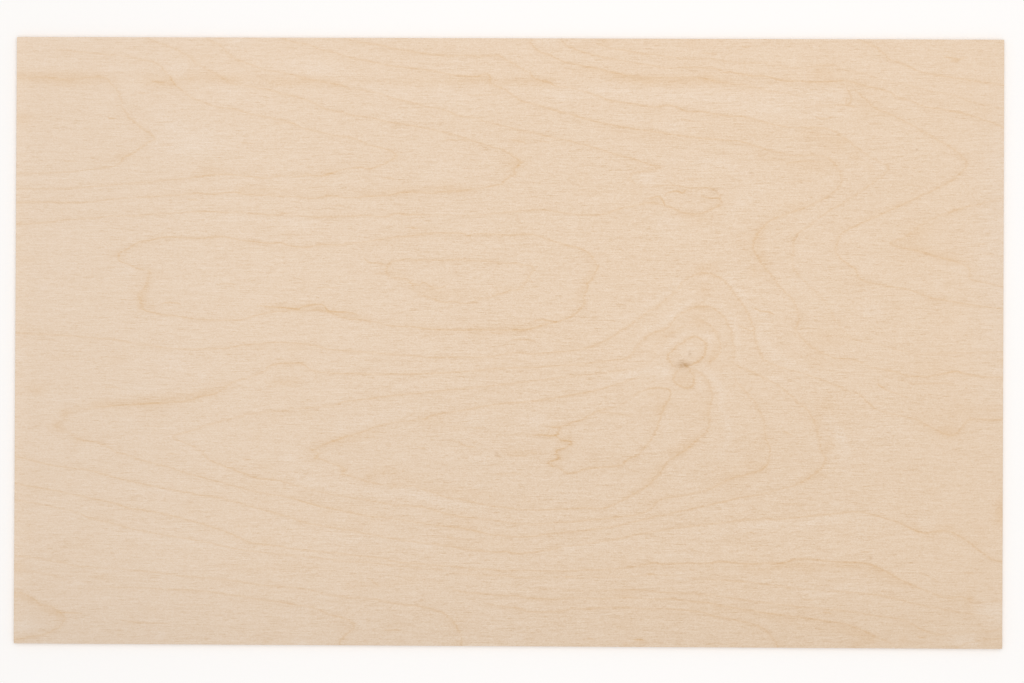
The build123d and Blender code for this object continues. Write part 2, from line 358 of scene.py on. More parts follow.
        (520, 590, 0.35), (543, 589.2), (557, 588.3), (567, 590, 0.45), (597, 590.5), (627, 589.7, 0.65),
        (640, 589.7, 0.8), (650, 590.8), (657, 591.7), (678, 593, 0.65), (705, 594.5), (718, 595.8),
        (742, 599.5), (797, 606.5, 0.7), (842, 610.5), (875, 615.5), (905, 620.5), (922, 629.5, 0.9),
        (938, 634.5), (953, 632.5, 0.55), (988, 631.5), (1010, 627.5)
    ],
    "corner_right": [
        (945, 655, 0.8), (960, 646), (980, 640), (1010, 638)
    ],
    "corner_left": [
        (8, 592, 0.6), (16, 592.5), (26, 594.5, 0.75), (34, 599, 0.83), (40, 604, 0.68), (48, 605.5),
        (55, 608.5, 0.75), (60, 613), (65, 619), (63, 622, 0.68), (58, 628, 0.6), (50, 632), (40, 635),
        (28, 637), (18, 639, 0.68), (8, 640)
    ],
    # The two nested tips that come in from the right edge
    "right_tip": [
        (1010, 289, 0.68), (987, 283, 0.85), (969, 278), (970, 270, 0.68), (960, 263), (938, 257, 0.85),
        (918, 251, 0.94), (898, 247, 0.68), (889, 243), (905, 237), (927, 221, 0.51), (943, 215, 0.68),
        (957, 210, 0.94), (987, 202, 0.68), (1010, 195)
    ],
}

# Short dark marks between the rings, written as the ring lines are
FACE_MARKS = [
    [(946, 57, 0.45), (953, 58), (961, 59, 0.4), (964, 58)],
    [(950, 61, 0.35), (957, 61.5)],
    [(756, 309, 0.5), (760, 311, 0.6), (766, 311.5), (772, 313)],
    [(740, 326, 0.3), (751, 331)],
    [(757, 321, 0.2), (770, 322)],
    [(785, 432, 0.4), (790, 434)],
    [(600, 412, 0.25), (612, 413), (630, 416)],
    [(879, 385.5, 0.6), (882, 387), (887, 390, 0.25), (895, 393), (906, 397, 0.2)],
    [(900, 380, 0.15), (912, 383.5, 0.2), (928, 383.6, 0.3), (952, 383)],
    [(531.5, 435.8, 0.3), (537, 435, 0.45), (543, 435, 0.6), (550, 435.8), (556, 435.3)],
    [(566, 577, 0.3), (573, 577)],
    [(500, 435, 0.15), (531, 435)],
    [(516, 456, 0.25), (525, 456)],
    [(530, 453, 0.3), (535, 453)],
    [(460, 443, 0.2), (466, 446, 0.35), (473, 447)],
    [(378, 388, 0.2), (390, 386)],
    [(60, 612.6, 0.35), (68, 612.6, 0.5), (82, 613.4, 0.3)],
    [(124, 620.5, 0.15), (136, 622.4, 0.3), (150, 623), (168, 623.5, 0.2)],
    [(105, 387, 0.3), (117, 387)],
    [(370, 579, 0.25), (379, 586)],
    [(784, 504, 0.2), (797, 504, 0.3)],
    [(806, 600, 0.3), (812, 600.5)],
    [(921, 573, 0.2), (936, 580)],
    [(690, 179, 0.4), (693, 179, 0.2), (703, 179)],
    [(668, 193, 0.4), (676, 191, 0.6), (683, 193), (686, 190, 0.3)],
    [(650, 198, 0.4), (660, 197, 0.6), (664, 203)],
    [(703, 197, 0.4), (711, 198, 0.5), (719, 198)],
    [(788, 163, 0.25), (803, 161), (820, 162)],
    [(786, 182, 0.2), (811, 181)],
    [(155, 81.5, 0.35), (163, 83)],
    [(66, 161, 0.3), (73, 161)],
    [(110, 118.5, 0.5), (114, 118.5)],
    [(140, 93, 0.3), (145, 93)],
    [(163, 145, 0.3), (170, 145)],
    [(190, 200, 0.3), (196, 200)],
    [(243, 143, 0.25), (250, 143)],
    [(275, 123, 0.25), (293, 123)],
    [(335, 206, 0.3), (342, 206)],
    [(385, 178, 0.4), (392, 178)],
    [(411, 228, 0.5), (415, 228)],
    [(446, 139.5, 0.25), (464, 140)],
    [(513, 140, 0.35), (524, 142)],
    [(541, 141.5, 0.3), (550, 142)],
    [(470, 95, 0.2), (495, 95)],
    [(743, 47, 0.35), (749, 47)],
    [(703, 53, 0.3), (715, 54)],
    [(682, 119.5, 0.2), (692, 121)],
    [(700, 122, 0.15), (712, 122)],
    [(818, 118.5, 0.35), (830, 118.5)],
    [(870, 123.5, 0.2), (880, 123.5)],
    [(815, 106, 0.15), (830, 105.2), (847, 105.3, 0.4), (853, 106.5)],
    [(848, 90, 0.3), (851, 96, 0.35), (850, 104, 0.3)],
    [(950, 111, 0.3), (960, 111)],
    [(979, 244, 0.3), (984, 244)],
    [(988, 254, 0.3), (993, 254)],
    # In the long loop
    [(165, 302.5, 0.45), (178, 303)],
    [(220, 283.7, 0.25), (233, 284)],
    [(240, 265, 0.2), (250, 265)],
    [(320, 287.5, 0.25), (335, 287.5)],
    [(260, 305.8, 0.4), (273, 307, 0.3), (283, 307.5, 0.45), (292, 308.7, 0.6), (300, 309.2, 0.6)],
    [(303, 307, 0.3), (310, 305, 0.4), (323, 305), (328, 310.5), (334, 311.7, 0.6), (342, 312),
     (347, 312, 0.4), (356, 314, 0.3)],
    [(365, 259, 0.3), (368, 262, 0.4), (380, 263.5, 0.4), (386, 266, 0.25)],
    [(376, 273.7, 0.3), (386, 274, 0.2)],
    [(411, 283.5, 0.3), (418, 284.7)],
    [(421, 282.5, 0.3), (427, 283.5), (431, 287), (439, 288), (447, 285, 0.2)],
    [(493, 333.3, 0.35), (502, 333.3)],
    [(515, 339.5, 0.3), (532, 340)],
    [(554, 321.5, 0.5), (547, 320.3), (541, 319.7, 0.4), (535, 320.5)],
    # Below the knot
    [(145, 426, 0.15), (157, 426)],
    [(170, 454, 0.3), (177, 454)],
    [(243, 459, 0.25), (248, 459)],
    [(420, 448, 0.4), (424, 448)],
    [(476, 428, 0.4), (480, 428)],
    [(497, 474, 0.25), (520, 474)],
    [(447, 537.5, 0.3), (452, 537.5)],
    [(748, 532.5, 0.3), (753, 532.5)],
    [(863, 552, 0.3), (868, 552)],
    [(965, 573, 0.3), (971, 573)],
    [(648, 574, 0.5), (653, 574)],
    [(824, 612.5, 0.5), (829, 612.5)],
    [(920, 637.5, 0.5), (924, 637.5)],
    [(635, 639.7, 0.6), (642, 639.7)],
    [(587, 638.7, 0.35), (592, 638.7)],
    [(181, 605, 0.15), (208, 605)],
    [(386, 630, 0.4), (398, 630)],
]

# The pin knot and the small dark spots, in pixels: a middle, half a length, half a height and how dark
KNOT_SPOTS = [
    (683.4, 365.0, 5.0, 3.2, 0.56),
    (687.5, 365.0, 3.4, 1.8, 0.18),
    (685.0, 366.2, 2.8, 1.7, 0.25),
    (681.5, 361.2, 2.8, 2.0, 0.22),
    (683.0, 366.5, 12.0, 7.0, 0.08),
    (690.0, 353.5, 1.6, 3.0, 0.30),
    (672.0, 336.0, 2.6, 1.2, 0.15),
    (719.0, 337.0, 1.6, 1.6, 0.14),
    (715.0, 191.0, 3.0, 3.2, 0.22),
    (496.5, 452.5, 2.4, 1.4, 0.28),
    (497.5, 455.5, 2.2, 1.3, 0.28),
    (917.0, 149.5, 1.5, 1.2, 0.45),
    (751.0, 173.0, 2.0, 1.0, 0.30),
    (829.0, 196.0, 1.8, 1.5, 0.20),
    (796.0, 236.0, 2.2, 1.3, 0.20),
    (871.0, 558.0, 2.2, 1.4, 0.30),
    (162.0, 411.0, 2.2, 1.2, 0.25),
]

# Soft dark and pale bands of the face, in pixels: half a width, and a route with how dark the band is there
FACE_BANDS = [
    # The streak below the top edge
    (6, [(12, 76, 0.20), (50, 77, 0.26), (72, 77, 0.28), (95, 77, 0.20), (108, 79, 0.14),
         (125, 80, 0.04)]),
    (4, [(48, 83, 0.08), (70, 84, 0.14), (95, 84, 0.10)]),
    (6, [(143, 80, 0.12), (152, 81, 0.22), (160, 82, 0.26), (172, 82, 0.26), (178, 81, 0.12),
         (190, 79, 0.12)]),
    (5, [(190, 77, 0.14), (212, 77, 0.28), (233, 79, 0.28), (245, 78, 0.16), (255, 79, 0.10),
         (262, 80, 0.20), (285, 82, 0.28), (320, 80, 0.25), (346, 84, 0.14), (400, 81, 0.12),
         (460, 81, 0.16), (485, 79, 0.22), (500, 82, 0.18), (520, 81, 0.20), (546, 82, 0.18),
         (560, 76, 0.05), (590, 70, 0.14), (610, 75, 0.22), (640, 80, 0.26), (680, 81, 0.26),
         (700, 80, 0.28), (718, 80, 0.20), (748, 87, 0.10)]),
    (6, [(560, 97, -0.05), (605, 91, -0.14), (640, 95, -0.14), (700, 97, -0.17), (760, 100, -0.15),
         (800, 97, -0.20), (850, 96, -0.16)]),
    (5, [(750, 108, -0.16), (775, 109, -0.18), (800, 112, -0.12), (850, 114, -0.08)]),
    # Between the rings of the fan
    (4, [(240, 190, 0.20), (262, 190, 0.16), (300, 189, 0.08), (340, 191, 0.08), (375, 192, 0.12),
         (440, 190, 0.16), (474, 192, 0.12)]),
    (5, [(600, 130, 0.06), (660, 138, 0.08), (720, 135, 0.08), (785, 135, 0.08), (815, 135, 0.22),
         (842, 142, 0.16)]),
    (5, [(760, 155, 0.14), (785, 162, 0.12), (810, 166, 0.16), (825, 172, 0.08)]),
    (5, [(705, 162, -0.12), (722, 163, -0.15), (746, 176, -0.08)]),
    (5, [(660, 221, -0.12), (700, 222, 0.08), (728, 214, -0.12), (742, 200, -0.12), (760, 190, -0.10)]),
    (4, [(671, 211, 0.08), (700, 219, 0.16), (724, 213, 0.08)]),
    (4, [(764, 228, 0.12), (757, 240, 0.10), (758, 250, 0.16), (763, 259, 0.28), (768, 264, 0.16)]),
    (5, [(804, 222, -0.10), (826, 214, -0.12)]),
    (3, [(860, 219, 0.08), (915, 200, 0.08)]),
    (5, [(866, 160, -0.05), (880, 165, -0.18), (886, 174, -0.10)]),
    (4, [(854, 156, 0.20), (862, 162, 0.12), (872, 168, 0.14)]),
    # Round the knot
    (3, [(683, 275, 0.10), (700, 267, 0.12), (720, 271, 0.12), (735, 282, 0.10)]),
    (4, [(620, 322, -0.06), (650, 304, -0.12), (666, 293, -0.14), (678, 281, -0.12), (690, 272, -0.06)]),
    (3, [(720, 271, -0.10), (730, 280, -0.18), (742, 295, -0.16), (751, 309, -0.10)]),
    (3, [(640, 336, -0.10), (650, 329, -0.14), (660, 325, -0.16), (668, 320, -0.20), (676, 312, -0.20),
         (684, 305, -0.18), (694, 301, -0.12), (706, 301, -0.10), (718, 306, -0.12), (728, 314, -0.14),
         (735, 326, -0.18), (738, 345, -0.14), (740, 358, -0.08)]),
    (3, [(667, 348, -0.10), (676, 339, -0.16), (686, 333, -0.16), (697, 331, -0.10), (709, 337, -0.18),
         (711, 346, -0.12)]),
    (6, [(758, 312, -0.14), (766, 318, -0.20), (763, 335, -0.14), (771, 351, -0.18), (786, 364, -0.14),
         (803, 371, -0.10), (830, 381, -0.05)]),
    (4, [(600, 385, -0.14), (632, 375, -0.24), (655, 371, -0.24), (666, 370, -0.28), (660, 378, -0.22)]),
    (4, [(705, 372, -0.18), (716, 381, -0.26), (722, 392, -0.22), (722, 410, -0.12), (729, 424, -0.20),
         (728, 440, -0.18), (718, 455, -0.08)]),
    (3, [(726, 372, -0.12), (740, 380, -0.08)]),
    (4, [(708, 345, 0.10), (714, 352, 0.18), (710, 360, 0.20)]),
    (4, [(722, 365, 0.12), (736, 368, 0.08)]),
    (3, [(604, 405, -0.08), (630, 400, -0.12), (645, 392, -0.10)]),
    (4, [(664, 418, -0.10), (668, 435, -0.12)]),
    (5, [(824, 416, -0.10), (836, 430, -0.14), (846, 446, -0.14), (846, 470, -0.08)]),
    (5, [(672, 451, 0.12), (685, 446, 0.22), (697, 441, 0.14)]),
    (5, [(650, 478, 0.10), (662, 468, 0.12)]),
    (4, [(746, 463, 0.12), (766, 467, 0.14)]),
    (4, [(800, 481, 0.14), (824, 476, 0.16)]),
    # Left of the knot
    (5, [(78, 406, 0.10), (100, 404, 0.22), (128, 402, 0.20), (150, 401, 0.24), (188, 397, 0.22),
         (200, 394, 0.28), (213, 391, 0.22)]),
    (4, [(268, 384, 0.12), (285, 383, 0.26), (300, 379, 0.12)]),
    (5, [(310, 443, 0.12), (340, 439, 0.16), (368, 436, 0.16), (385, 431, 0.06)]),
    (6, [(370, 476, 0.16), (386, 470, 0.20), (400, 474, 0.12), (430, 478, 0.05)]),
    (5, [(395, 484, 0.12), (420, 487, 0.08), (440, 489, 0.12), (460, 491, 0.18), (492, 495, 0.14)]),
    (5, [(300, 478, -0.12), (345, 490, -0.04), (385, 492, -0.10), (410, 492, -0.22), (434, 500, -0.16),
         (480, 508, -0.06)]),
    (5, [(340, 427, -0.10), (375, 418, -0.10), (405, 410, -0.12)]),
    (4, [(500, 452, 0.12), (520, 453, 0.14), (540, 452, 0.08)]),
    # The islands
    (4, [(149, 272, 0.14), (146, 290, 0.20), (141, 298, 0.22), (141, 308, 0.26)]),
    (4, [(133, 292, 0.12), (152, 306, 0.12)]),
    (3, [(267, 308, 0.16), (292, 308, 0.22), (312, 306, 0.24), (330, 312, 0.20), (348, 315, 0.20),
         (372, 320, 0.08)]),
    (6, [(382, 267, 0.06), (394, 272, 0.10), (410, 283, 0.10), (432, 290, 0.18), (455, 293, 0.10),
         (476, 293, 0.08)]),
    (4, [(576, 298, 0.10), (584, 284, 0.12), (594, 268, 0.10)]),
    # The tip at the right edge
    (5, [(905, 249, 0.10), (925, 252, 0.18), (950, 258, 0.14), (973, 267, 0.10)]),
    # Below the knot
    (4, [(656, 531, -0.10), (690, 532, -0.06), (715, 535, -0.16), (735, 530, -0.08), (765, 525, -0.18),
         (800, 525, -0.12), (818, 522, -0.18), (840, 518, -0.14), (880, 524, -0.06), (925, 541, -0.02)]),
    (4, [(565, 547, -0.16), (592, 546, -0.16), (640, 541, -0.06)]),
    (4, [(655, 556, -0.08), (688, 556, -0.14), (700, 557, -0.06)]),
    (4, [(745, 567, 0.16), (760, 571, 0.12), (780, 566, 0.22), (800, 566, 0.24), (820, 567, 0.14),
         (848, 565, 0.24), (862, 568, 0.12), (880, 572, 0.20), (895, 580, 0.14), (915, 586, 0.08)]),
    (4, [(750, 581, -0.12), (790, 584, -0.12), (815, 591, -0.18), (845, 588, -0.18), (866, 590, -0.14)]),
    (5, [(795, 624, 0.10), (830, 628, 0.12), (858, 634, 0.24), (872, 640, 0.26)]),
    (4, [(605, 596, 0.12), (632, 594, 0.14)]),
    (4, [(716, 610, 0.10), (750, 611, 0.08), (775, 617, 0.12), (792, 620, 0.10)]),
    (4, [(452, 541, 0.12), (512, 543, 0.12)]),
    (5, [(130, 531, -0.06), (180, 539, -0.10), (222, 545, -0.10), (280, 553, -0.06), (330, 556, -0.06)]),
    (4, [(326, 538, -0.10), (385, 541, -0.10), (430, 546, -0.12)]),
    (4, [(223, 565, 0.10), (256, 568, 0.12), (300, 567, 0.08), (358, 570, 0.08)]),
    (5, [(348, 585, 0.12), (380, 586, 0.10), (412, 580, 0.14), (440, 583, 0.08)]),
    (3, [(12, 595, 0.18), (30, 600, 0.20), (45, 609, 0.20), (56, 613, 0.20), (61, 619, 0.16)]),
    (3, [(12, 641, 0.22), (30, 638, 0.14), (48, 634, 0.12), (58, 627, 0.12)]),
    (4, [(962, 536, 0.06), (950, 527, 0.12), (925, 537, 0.12), (915, 524, 0.08)]),
]

# Soft dark and pale patches of the face, in pixels: a middle, half a length, half a height and how dark
FACE_PATCHES = [
    # Along the top edge
    (605, 41, 8, 4, 0.24), (692, 43, 9, 5, 0.18), (713, 43, 8, 4, 0.12), (584, 46, 8, 4, 0.12),
    (656, 42, 6, 4, 0.12), (548, 42, 10, 5, -0.12), (240, 42, 8, 6, -0.16),
    # Upper left
    (207, 57, 10, 5, 0.12), (303, 72, 6, 4, 0.12), (328, 62, 6, 5, 0.10), (141, 158, 9, 4, 0.10),
    (446, 185, 10, 5, 0.14), (68, 204, 8, 3, 0.08), (142, 246, 8, 4, 0.10), (27, 260, 14, 4, 0.12),
    (126, 272, 9, 7, -0.14), (348, 288, 7, 4, -0.14), (340, 186, 7, 5, -0.12), (177, 150, 20, 8, -0.08),
    (208, 132, 9, 8, -0.10), (183, 210, 9, 8, -0.10), (396, 117, 12, 5, -0.12), (245, 100, 18, 3, -0.10),
    (460, 62, 8, 5, -0.10), (352, 86, 10, 5, -0.12), (240, 220, 40, 3, -0.08), (287, 221, 10, 3, -0.10),
    (519, 140, 8, 5, 0.12), (50, 63, 22, 3, -0.10), (124, 67, 16, 3, -0.10), (177, 69, 9, 6, -0.16),
    (552, 94, 20, 5, -0.06), (593, 191, 15, 4, 0.10), (305, 283, 8, 6, 0.08), (291, 234, 8, 3, 0.10),
    (480, 337, 9, 4, 0.08), (22, 119, 16, 6, 0.22), (193, 59, 5, 7, 0.12), (235, 60, 14, 8, 0.08),
    (118, 157, 14, 5, 0.12), (210, 168, 14, 8, 0.12), (326, 170, 8, 5, 0.10), (395, 155, 6, 5, 0.14),
    (516, 162, 14, 9, 0.20), (421, 229, 11, 4, 0.14), (25, 329, 18, 4, 0.12), (116, 255, 9, 4, 0.12),
    (161, 276, 9, 6, 0.12), (138, 276, 7, 7, 0.10), (435, 332, 16, 6, 0.10), (476, 330, 14, 7, 0.12),
    (525, 328, 30, 9, 0.12), (174, 125, 12, 6, -0.18), (193, 142, 36, 12, -0.14),
    (158, 112, 10, 5, -0.08), (318, 70, 24, 8, -0.18), (290, 62, 12, 4, -0.10), (374, 87, 14, 6, -0.20),
    (400, 93, 18, 5, -0.08), (445, 96, 18, 7, -0.16), (231, 91, 14, 4, -0.12), (62, 266, 13, 5, -0.10),
    (44, 287, 8, 4, -0.12), (86, 173, 12, 6, -0.10), (216, 284, 10, 4, -0.14), (302, 223, 14, 6, -0.10),
    (568, 94, 24, 7, -0.08), (118, 57, 8, 3, -0.08), (458, 213, 12, 4, -0.10), (443, 168, 20, 7, -0.07),
    (512, 89, 8, 4, -0.10), (500, 288, 14, 5, 0.07),
    # Upper right
    (648, 84, 5, 4, 0.14), (710, 77, 6, 5, 0.14), (788, 78, 7, 4, 0.16), (835, 75, 7, 3, 0.10),
    (848, 97, 6, 8, 0.16), (795, 98, 7, 3, 0.12), (793, 129, 6, 5, -0.18), (673, 125, 8, 5, -0.20),
    (638, 119, 8, 3, -0.16), (675, 160, 10, 7, -0.10), (699, 162, 6, 5, -0.18), (583, 179, 8, 7, 0.12),
    (635, 192, 9, 7, 0.10), (652, 201, 8, 4, 0.14), (648, 179, 11, 5, -0.12), (681, 192, 5, 3, 0.14),
    (719, 207, 4, 4, 0.14), (825, 214, 6, 3, 0.12), (760, 238, 7, 9, 0.12), (754, 271, 6, 7, 0.20),
    (704, 271, 7, 5, 0.16), (710, 265, 8, 3, 0.10), (704, 290, 7, 6, 0.08), (872, 310, 9, 6, -0.26),
    (830, 310, 14, 5, -0.10), (832, 148, 18, 8, 0.12), (828, 165, 18, 6, 0.10), (800, 175, 14, 5, 0.08),
    (752, 105, 6, 6, 0.10), (735, 275, 9, 8, -0.14), (688, 332, 9, 6, 0.06), (822, 75, 14, 9, 0.22),
    (852, 84, 16, 6, 0.12), (866, 110, 18, 10, 0.11), (982, 112, 12, 6, 0.12), (980, 80, 26, 4, 0.10),
    (736, 123, 14, 4, 0.08), (794, 206, 12, 6, 0.14), (744, 242, 8, 12, 0.07), (917, 233, 13, 10, 0.22),
    (903, 242, 10, 5, 0.10), (700, 306, 9, 9, 0.20), (700, 324, 8, 7, 0.22), (663, 334, 14, 5, 0.13),
    (825, 337, 18, 10, 0.16), (828, 316, 8, 6, 0.12), (900, 307, 12, 6, 0.07), (944, 319, 11, 8, 0.08),
    (912, 184, 9, 4, 0.08), (954, 209, 7, 4, 0.10), (524, 228, 20, 4, 0.08), (910, 262, 20, 5, 0.07),
    (626, 117, 9, 4, -0.10), (642, 60, 16, 4, -0.10), (669, 224, 12, 5, -0.10), (660, 232, 9, 4, -0.08),
    (568, 220, 14, 6, -0.08), (650, 178, 14, 6, -0.10), (911, 104, 8, 5, -0.11), (900, 81, 16, 4, -0.08),
    (802, 283, 14, 7, -0.12), (870, 260, 9, 5, -0.10), (938, 283, 6, 5, -0.14), (956, 269, 9, 4, -0.12),
    (912, 296, 9, 5, -0.09), (521, 262, 9, 5, -0.12), (998, 160, 10, 8, -0.14), (705, 289, 10, 6, 0.12),
    (640, 260, 30, 20, 0.04),
    # Lower left
    (27, 385, 14, 4, 0.10), (138, 388, 18, 7, -0.12), (65, 399, 22, 5, -0.08), (313, 442, 8, 4, -0.12),
    (394, 489, 8, 4, 0.12), (478, 462, 9, 4, -0.18), (480, 487, 9, 4, -0.10), (327, 512, 7, 7, 0.12),
    (375, 518, 8, 7, 0.08), (457, 428, 8, 4, 0.16), (475, 420, 12, 7, -0.12), (261, 348, 9, 3, 0.14),
    (296, 348, 9, 4, 0.14), (30, 537, 7, 7, 0.10), (47, 551, 5, 4, 0.12), (185, 525, 12, 5, -0.12),
    (190, 509, 7, 6, 0.12), (241, 527, 6, 4, 0.12), (267, 540, 11, 7, 0.12), (110, 571, 20, 3, -0.14),
    (28, 626, 18, 6, -0.16), (300, 644, 7, 5, -0.20), (50, 646, 8, 4, -0.16), (347, 614, 5, 4, 0.14),
    (299, 609, 9, 5, -0.16), (360, 622, 5, 6, -0.12), (515, 453, 9, 3, 0.14), (120, 635, 4, 3, 0.12),
    (17, 356, 8, 8, -0.18), (64, 357, 14, 4, 0.12), (115, 359, 13, 5, 0.12), (38, 391, 9, 6, 0.12),
    (150, 412, 22, 9, 0.08), (290, 363, 20, 4, 0.10), (66, 413, 7, 5, 0.22), (58, 426, 7, 5, 0.22),
    (79, 440, 8, 4, 0.16), (36, 389, 10, 5, 0.12), (276, 420, 8, 4, 0.12), (309, 414, 8, 4, 0.12),
    (258, 436, 5, 5, 0.14), (264, 466, 9, 4, 0.18), (260, 484, 12, 5, 0.12), (313, 459, 6, 5, 0.12),
    (342, 468, 6, 4, 0.12), (433, 422, 14, 9, 0.10), (38, 484, 9, 9, 0.10), (67, 484, 6, 4, 0.10),
    (105, 472, 9, 7, 0.07), (30, 526, 8, 7, 0.10), (86, 543, 20, 6, 0.10), (77, 557, 12, 5, 0.08),
    (130, 548, 9, 6, 0.09), (19, 566, 10, 4, 0.20), (102, 577, 9, 5, 0.12), (90, 576, 34, 3, 0.06),
    (54, 612, 16, 9, 0.10), (152, 609, 9, 4, 0.10), (135, 622, 9, 3, 0.10), (345, 637, 6, 7, 0.12),
    (460, 620, 13, 9, 0.12), (392, 628, 15, 5, 0.08), (350, 506, 14, 6, 0.10), (360, 520, 16, 12, 0.07),
    (265, 502, 9, 4, 0.10), (465, 522, 11, 9, 0.10), (172, 360, 18, 9, -0.11), (178, 366, 8, 4, -0.10),
    (202, 376, 6, 6, -0.10), (224, 385, 8, 4, 0.14), (130, 423, 9, 4, -0.12), (190, 441, 14, 5, -0.09),
    (288, 457, 8, 4, -0.10), (163, 491, 9, 3, -0.12), (141, 491, 44, 4, -0.06), (75, 514, 13, 7, -0.08),
    (284, 522, 9, 4, -0.12), (449, 569, 5, 4, -0.16), (45, 557, 6, 5, -0.16), (74, 584, 8, 3, -0.14),
    (172, 575, 11, 5, -0.10), (324, 597, 12, 4, -0.12), (159, 635, 7, 4, -0.14), (19, 627, 9, 4, -0.12),
    # Lower right
    (700, 384, 5, 8, -0.12), (776, 383, 8, 5, -0.18), (876, 396, 8, 3, -0.10), (882, 404, 10, 3, 0.10),
    (905, 420, 9, 4, -0.12), (818, 421, 5, 6, 0.18), (816, 442, 4, 5, -0.14), (841, 440, 6, 15, -0.16),
    (858, 443, 7, 4, -0.16), (890, 450, 9, 7, -0.08), (551, 436, 10, 4, 0.20), (568, 497, 9, 5, -0.18),
    (717, 507, 8, 4, -0.12), (838, 505, 14, 5, -0.14), (860, 535, 5, 9, -0.16), (752, 558, 5, 4, 0.16),
    (622, 561, 12, 4, 0.12), (602, 614, 15, 3, -0.16), (626, 645, 5, 4, 0.26), (858, 644, 7, 4, 0.22),
    (903, 640, 6, 5, 0.18), (974, 643, 6, 5, -0.20), (780, 645, 5, 4, 0.14), (735, 645, 5, 4, 0.12),
    (1002, 620, 10, 8, -0.20), (924, 424, 11, 4, 0.14), (946, 432, 14, 5, 0.12), (990, 419, 16, 3, 0.12),
    (986, 409, 14, 4, 0.06), (817, 361, 12, 10, 0.11), (930, 367, 22, 8, 0.14), (884, 387, 9, 5, 0.04),
    (653, 395, 12, 5, 0.10), (659, 409, 7, 6, 0.16), (705, 413, 6, 8, 0.14), (827, 407, 12, 7, 0.20),
    (844, 423, 7, 10, 0.08), (829, 447, 7, 7, 0.18), (566, 442, 7, 4, 0.22), (556, 457, 8, 8, 0.12),
    (735, 476, 20, 11, 0.13), (762, 444, 13, 10, 0.08), (935, 414, 28, 5, 0.08), (949, 430, 10, 7, 0.18),
    (963, 411, 13, 8, 0.10), (932, 490, 7, 4, 0.12), (859, 467, 12, 4, 0.07), (1001, 513, 7, 14, 0.30),
    (900, 508, 11, 5, 0.11), (982, 533, 7, 9, 0.10), (525, 502, 12, 3, 0.12), (579, 500, 13, 4, 0.08),
    (647, 501, 5, 4, 0.10), (647, 562, 5, 5, 0.12), (809, 571, 10, 3, 0.12), (970, 599, 4, 9, 0.14),
    (971, 611, 4, 7, 0.12), (743, 588, 18, 6, 0.08), (626, 625, 9, 6, 0.11), (640, 641, 5, 5, 0.20),
    (928, 617, 14, 4, 0.09), (994, 409, 12, 5, 0.10), (684, 379, 9, 7, 0.16), (690, 350, 9, 7, -0.16),
    (694, 403, 9, 7, 0.08), (651, 483, 8, 4, 0.08), (537, 419, 9, 6, -0.16), (606, 424, 7, 4, -0.10),
    (885, 430, 22, 11, -0.10), (877, 411, 6, 3, -0.12), (998, 370, 7, 5, -0.12), (1003, 362, 8, 4, 0.20),
    (870, 347, 18, 4, -0.10), (984, 390, 8, 7, -0.08), (775, 490, 26, 5, -0.08), (863, 510, 14, 3, -0.12),
    (682, 577, 9, 5, -0.17), (628, 577, 15, 5, -0.08), (925, 522, 12, 5, -0.13), (990, 609, 17, 9, -0.30),
    (963, 639, 13, 8, -0.24), (522, 510, 10, 3, -0.10), (624, 507, 9, 4, -0.11), (681, 476, 8, 4, -0.10),
    (516, 638, 8, 6, -0.10), (988, 553, 18, 6, -0.05),
]

# A reach or a wave so long that nothing changes that way
EVEN = math.inf

# Slow changes over the face, each strongest at one place and falling off around it: a cooler tint that stands
# in for cooler light at the ends, painted shade that darkens the face lower down and lightens it near the top
# and the left end, and how coarse its fine texture is. Places and reaches are shares of the sheet's length,
# from the left end, and of its width, from the far edge: amount, place along, reach along, place down, reach
# down.
# The painted cooler light
FACE_COOL_LIGHT = [
    (0.055, 0.0, 0.40, 0.0, EVEN),
    (0.060, 1.0, 0.03, 0.35, 0.25),
]
# The painted shade, with painted light where the amount is below zero
FACE_PAINTED_SHADE = [
    (0.010, 0.0, EVEN, 0.68, 0.15),
    (-0.014, 0.0, EVEN, 0.02, 0.12),
    (-0.008, 0.25, 0.09, 0.0, EVEN),
    (0.014, 0.62, 0.28, 0.75, 0.14),
    (-0.020, 0.0, 0.012, 0.0, EVEN),
]
FACE_COARSER = [
    (-0.08, 0.0, EVEN, 0.0, 0.15),
    (-0.10, 1.0, 0.12, 0.0, EVEN),
    (-0.20, 0.68, 0.06, 0.53, 0.09),
]

# How dark and how coarse the whole face is, and what comes on top further down, along the near edge, on the
# right and low in the middle. The darkening further down and along the near edge is painted shade, and the
# warmth low on the right is part of the painted tint of the light.
FACE_DARK, SHADE_DOWN, SHADE_NEAR_EDGE = -0.016, 0.036, 0.050
FACE_COARSE, COARSE_RIGHT, COARSE_LOW_MIDDLE = 0.86, 0.22, 0.10
WARM_LOW_RIGHT = 0.020

# What a place under the painted cooler light gains in red, green and blue
COOL_GAIN = (0.0, 0.37, 1.0)

# The waves that make up the back's figure: height in rings, metres from crest to crest along X and along Y,
# and how far the wave is shifted, in turns. A crest distance below zero slants the wave the other way.
BACK_WAVES = [
    (3.4, EVEN, 0.46, 0.06 / 0.46),
    (1.3, 0.71, EVEN, -0.11 / 0.71),
    (0.8, 0.29, 0.37, -0.25),
    (0.5, 0.19, -0.16, 0.0),
    (0.22, 0.083, 0.11, -0.25),
    (0.12, 0.047, -0.05, 0.0),
]

# What is added to the back's slope, in rings per metre, so that distances stay finite where it is level
BACK_LEAST_SLOPE = 4.0

# How dark the back's lines are: a mean, how far they vary, over what length, and the shift from ring to ring
BACK_DARK, BACK_DARK_VARIES, BACK_DARK_LENGTH, BACK_DARK_SHIFT = 0.75, 0.35, 0.043, 5

# The steps in which the routes of the ring lines and of the soft bands are followed
LINE_STEP = 0.4 * MM
BAND_STEP = 1.0 * MM

# How far from a line the mesh still knows of it, and the outer share of that in which the line fades out
RING_SPAN = 6 * MM
MARK_SPAN = 3 * MM
FADING_SHARE = 0.4

# How many half widths a soft band reaches
BAND_SPAN = 2.5

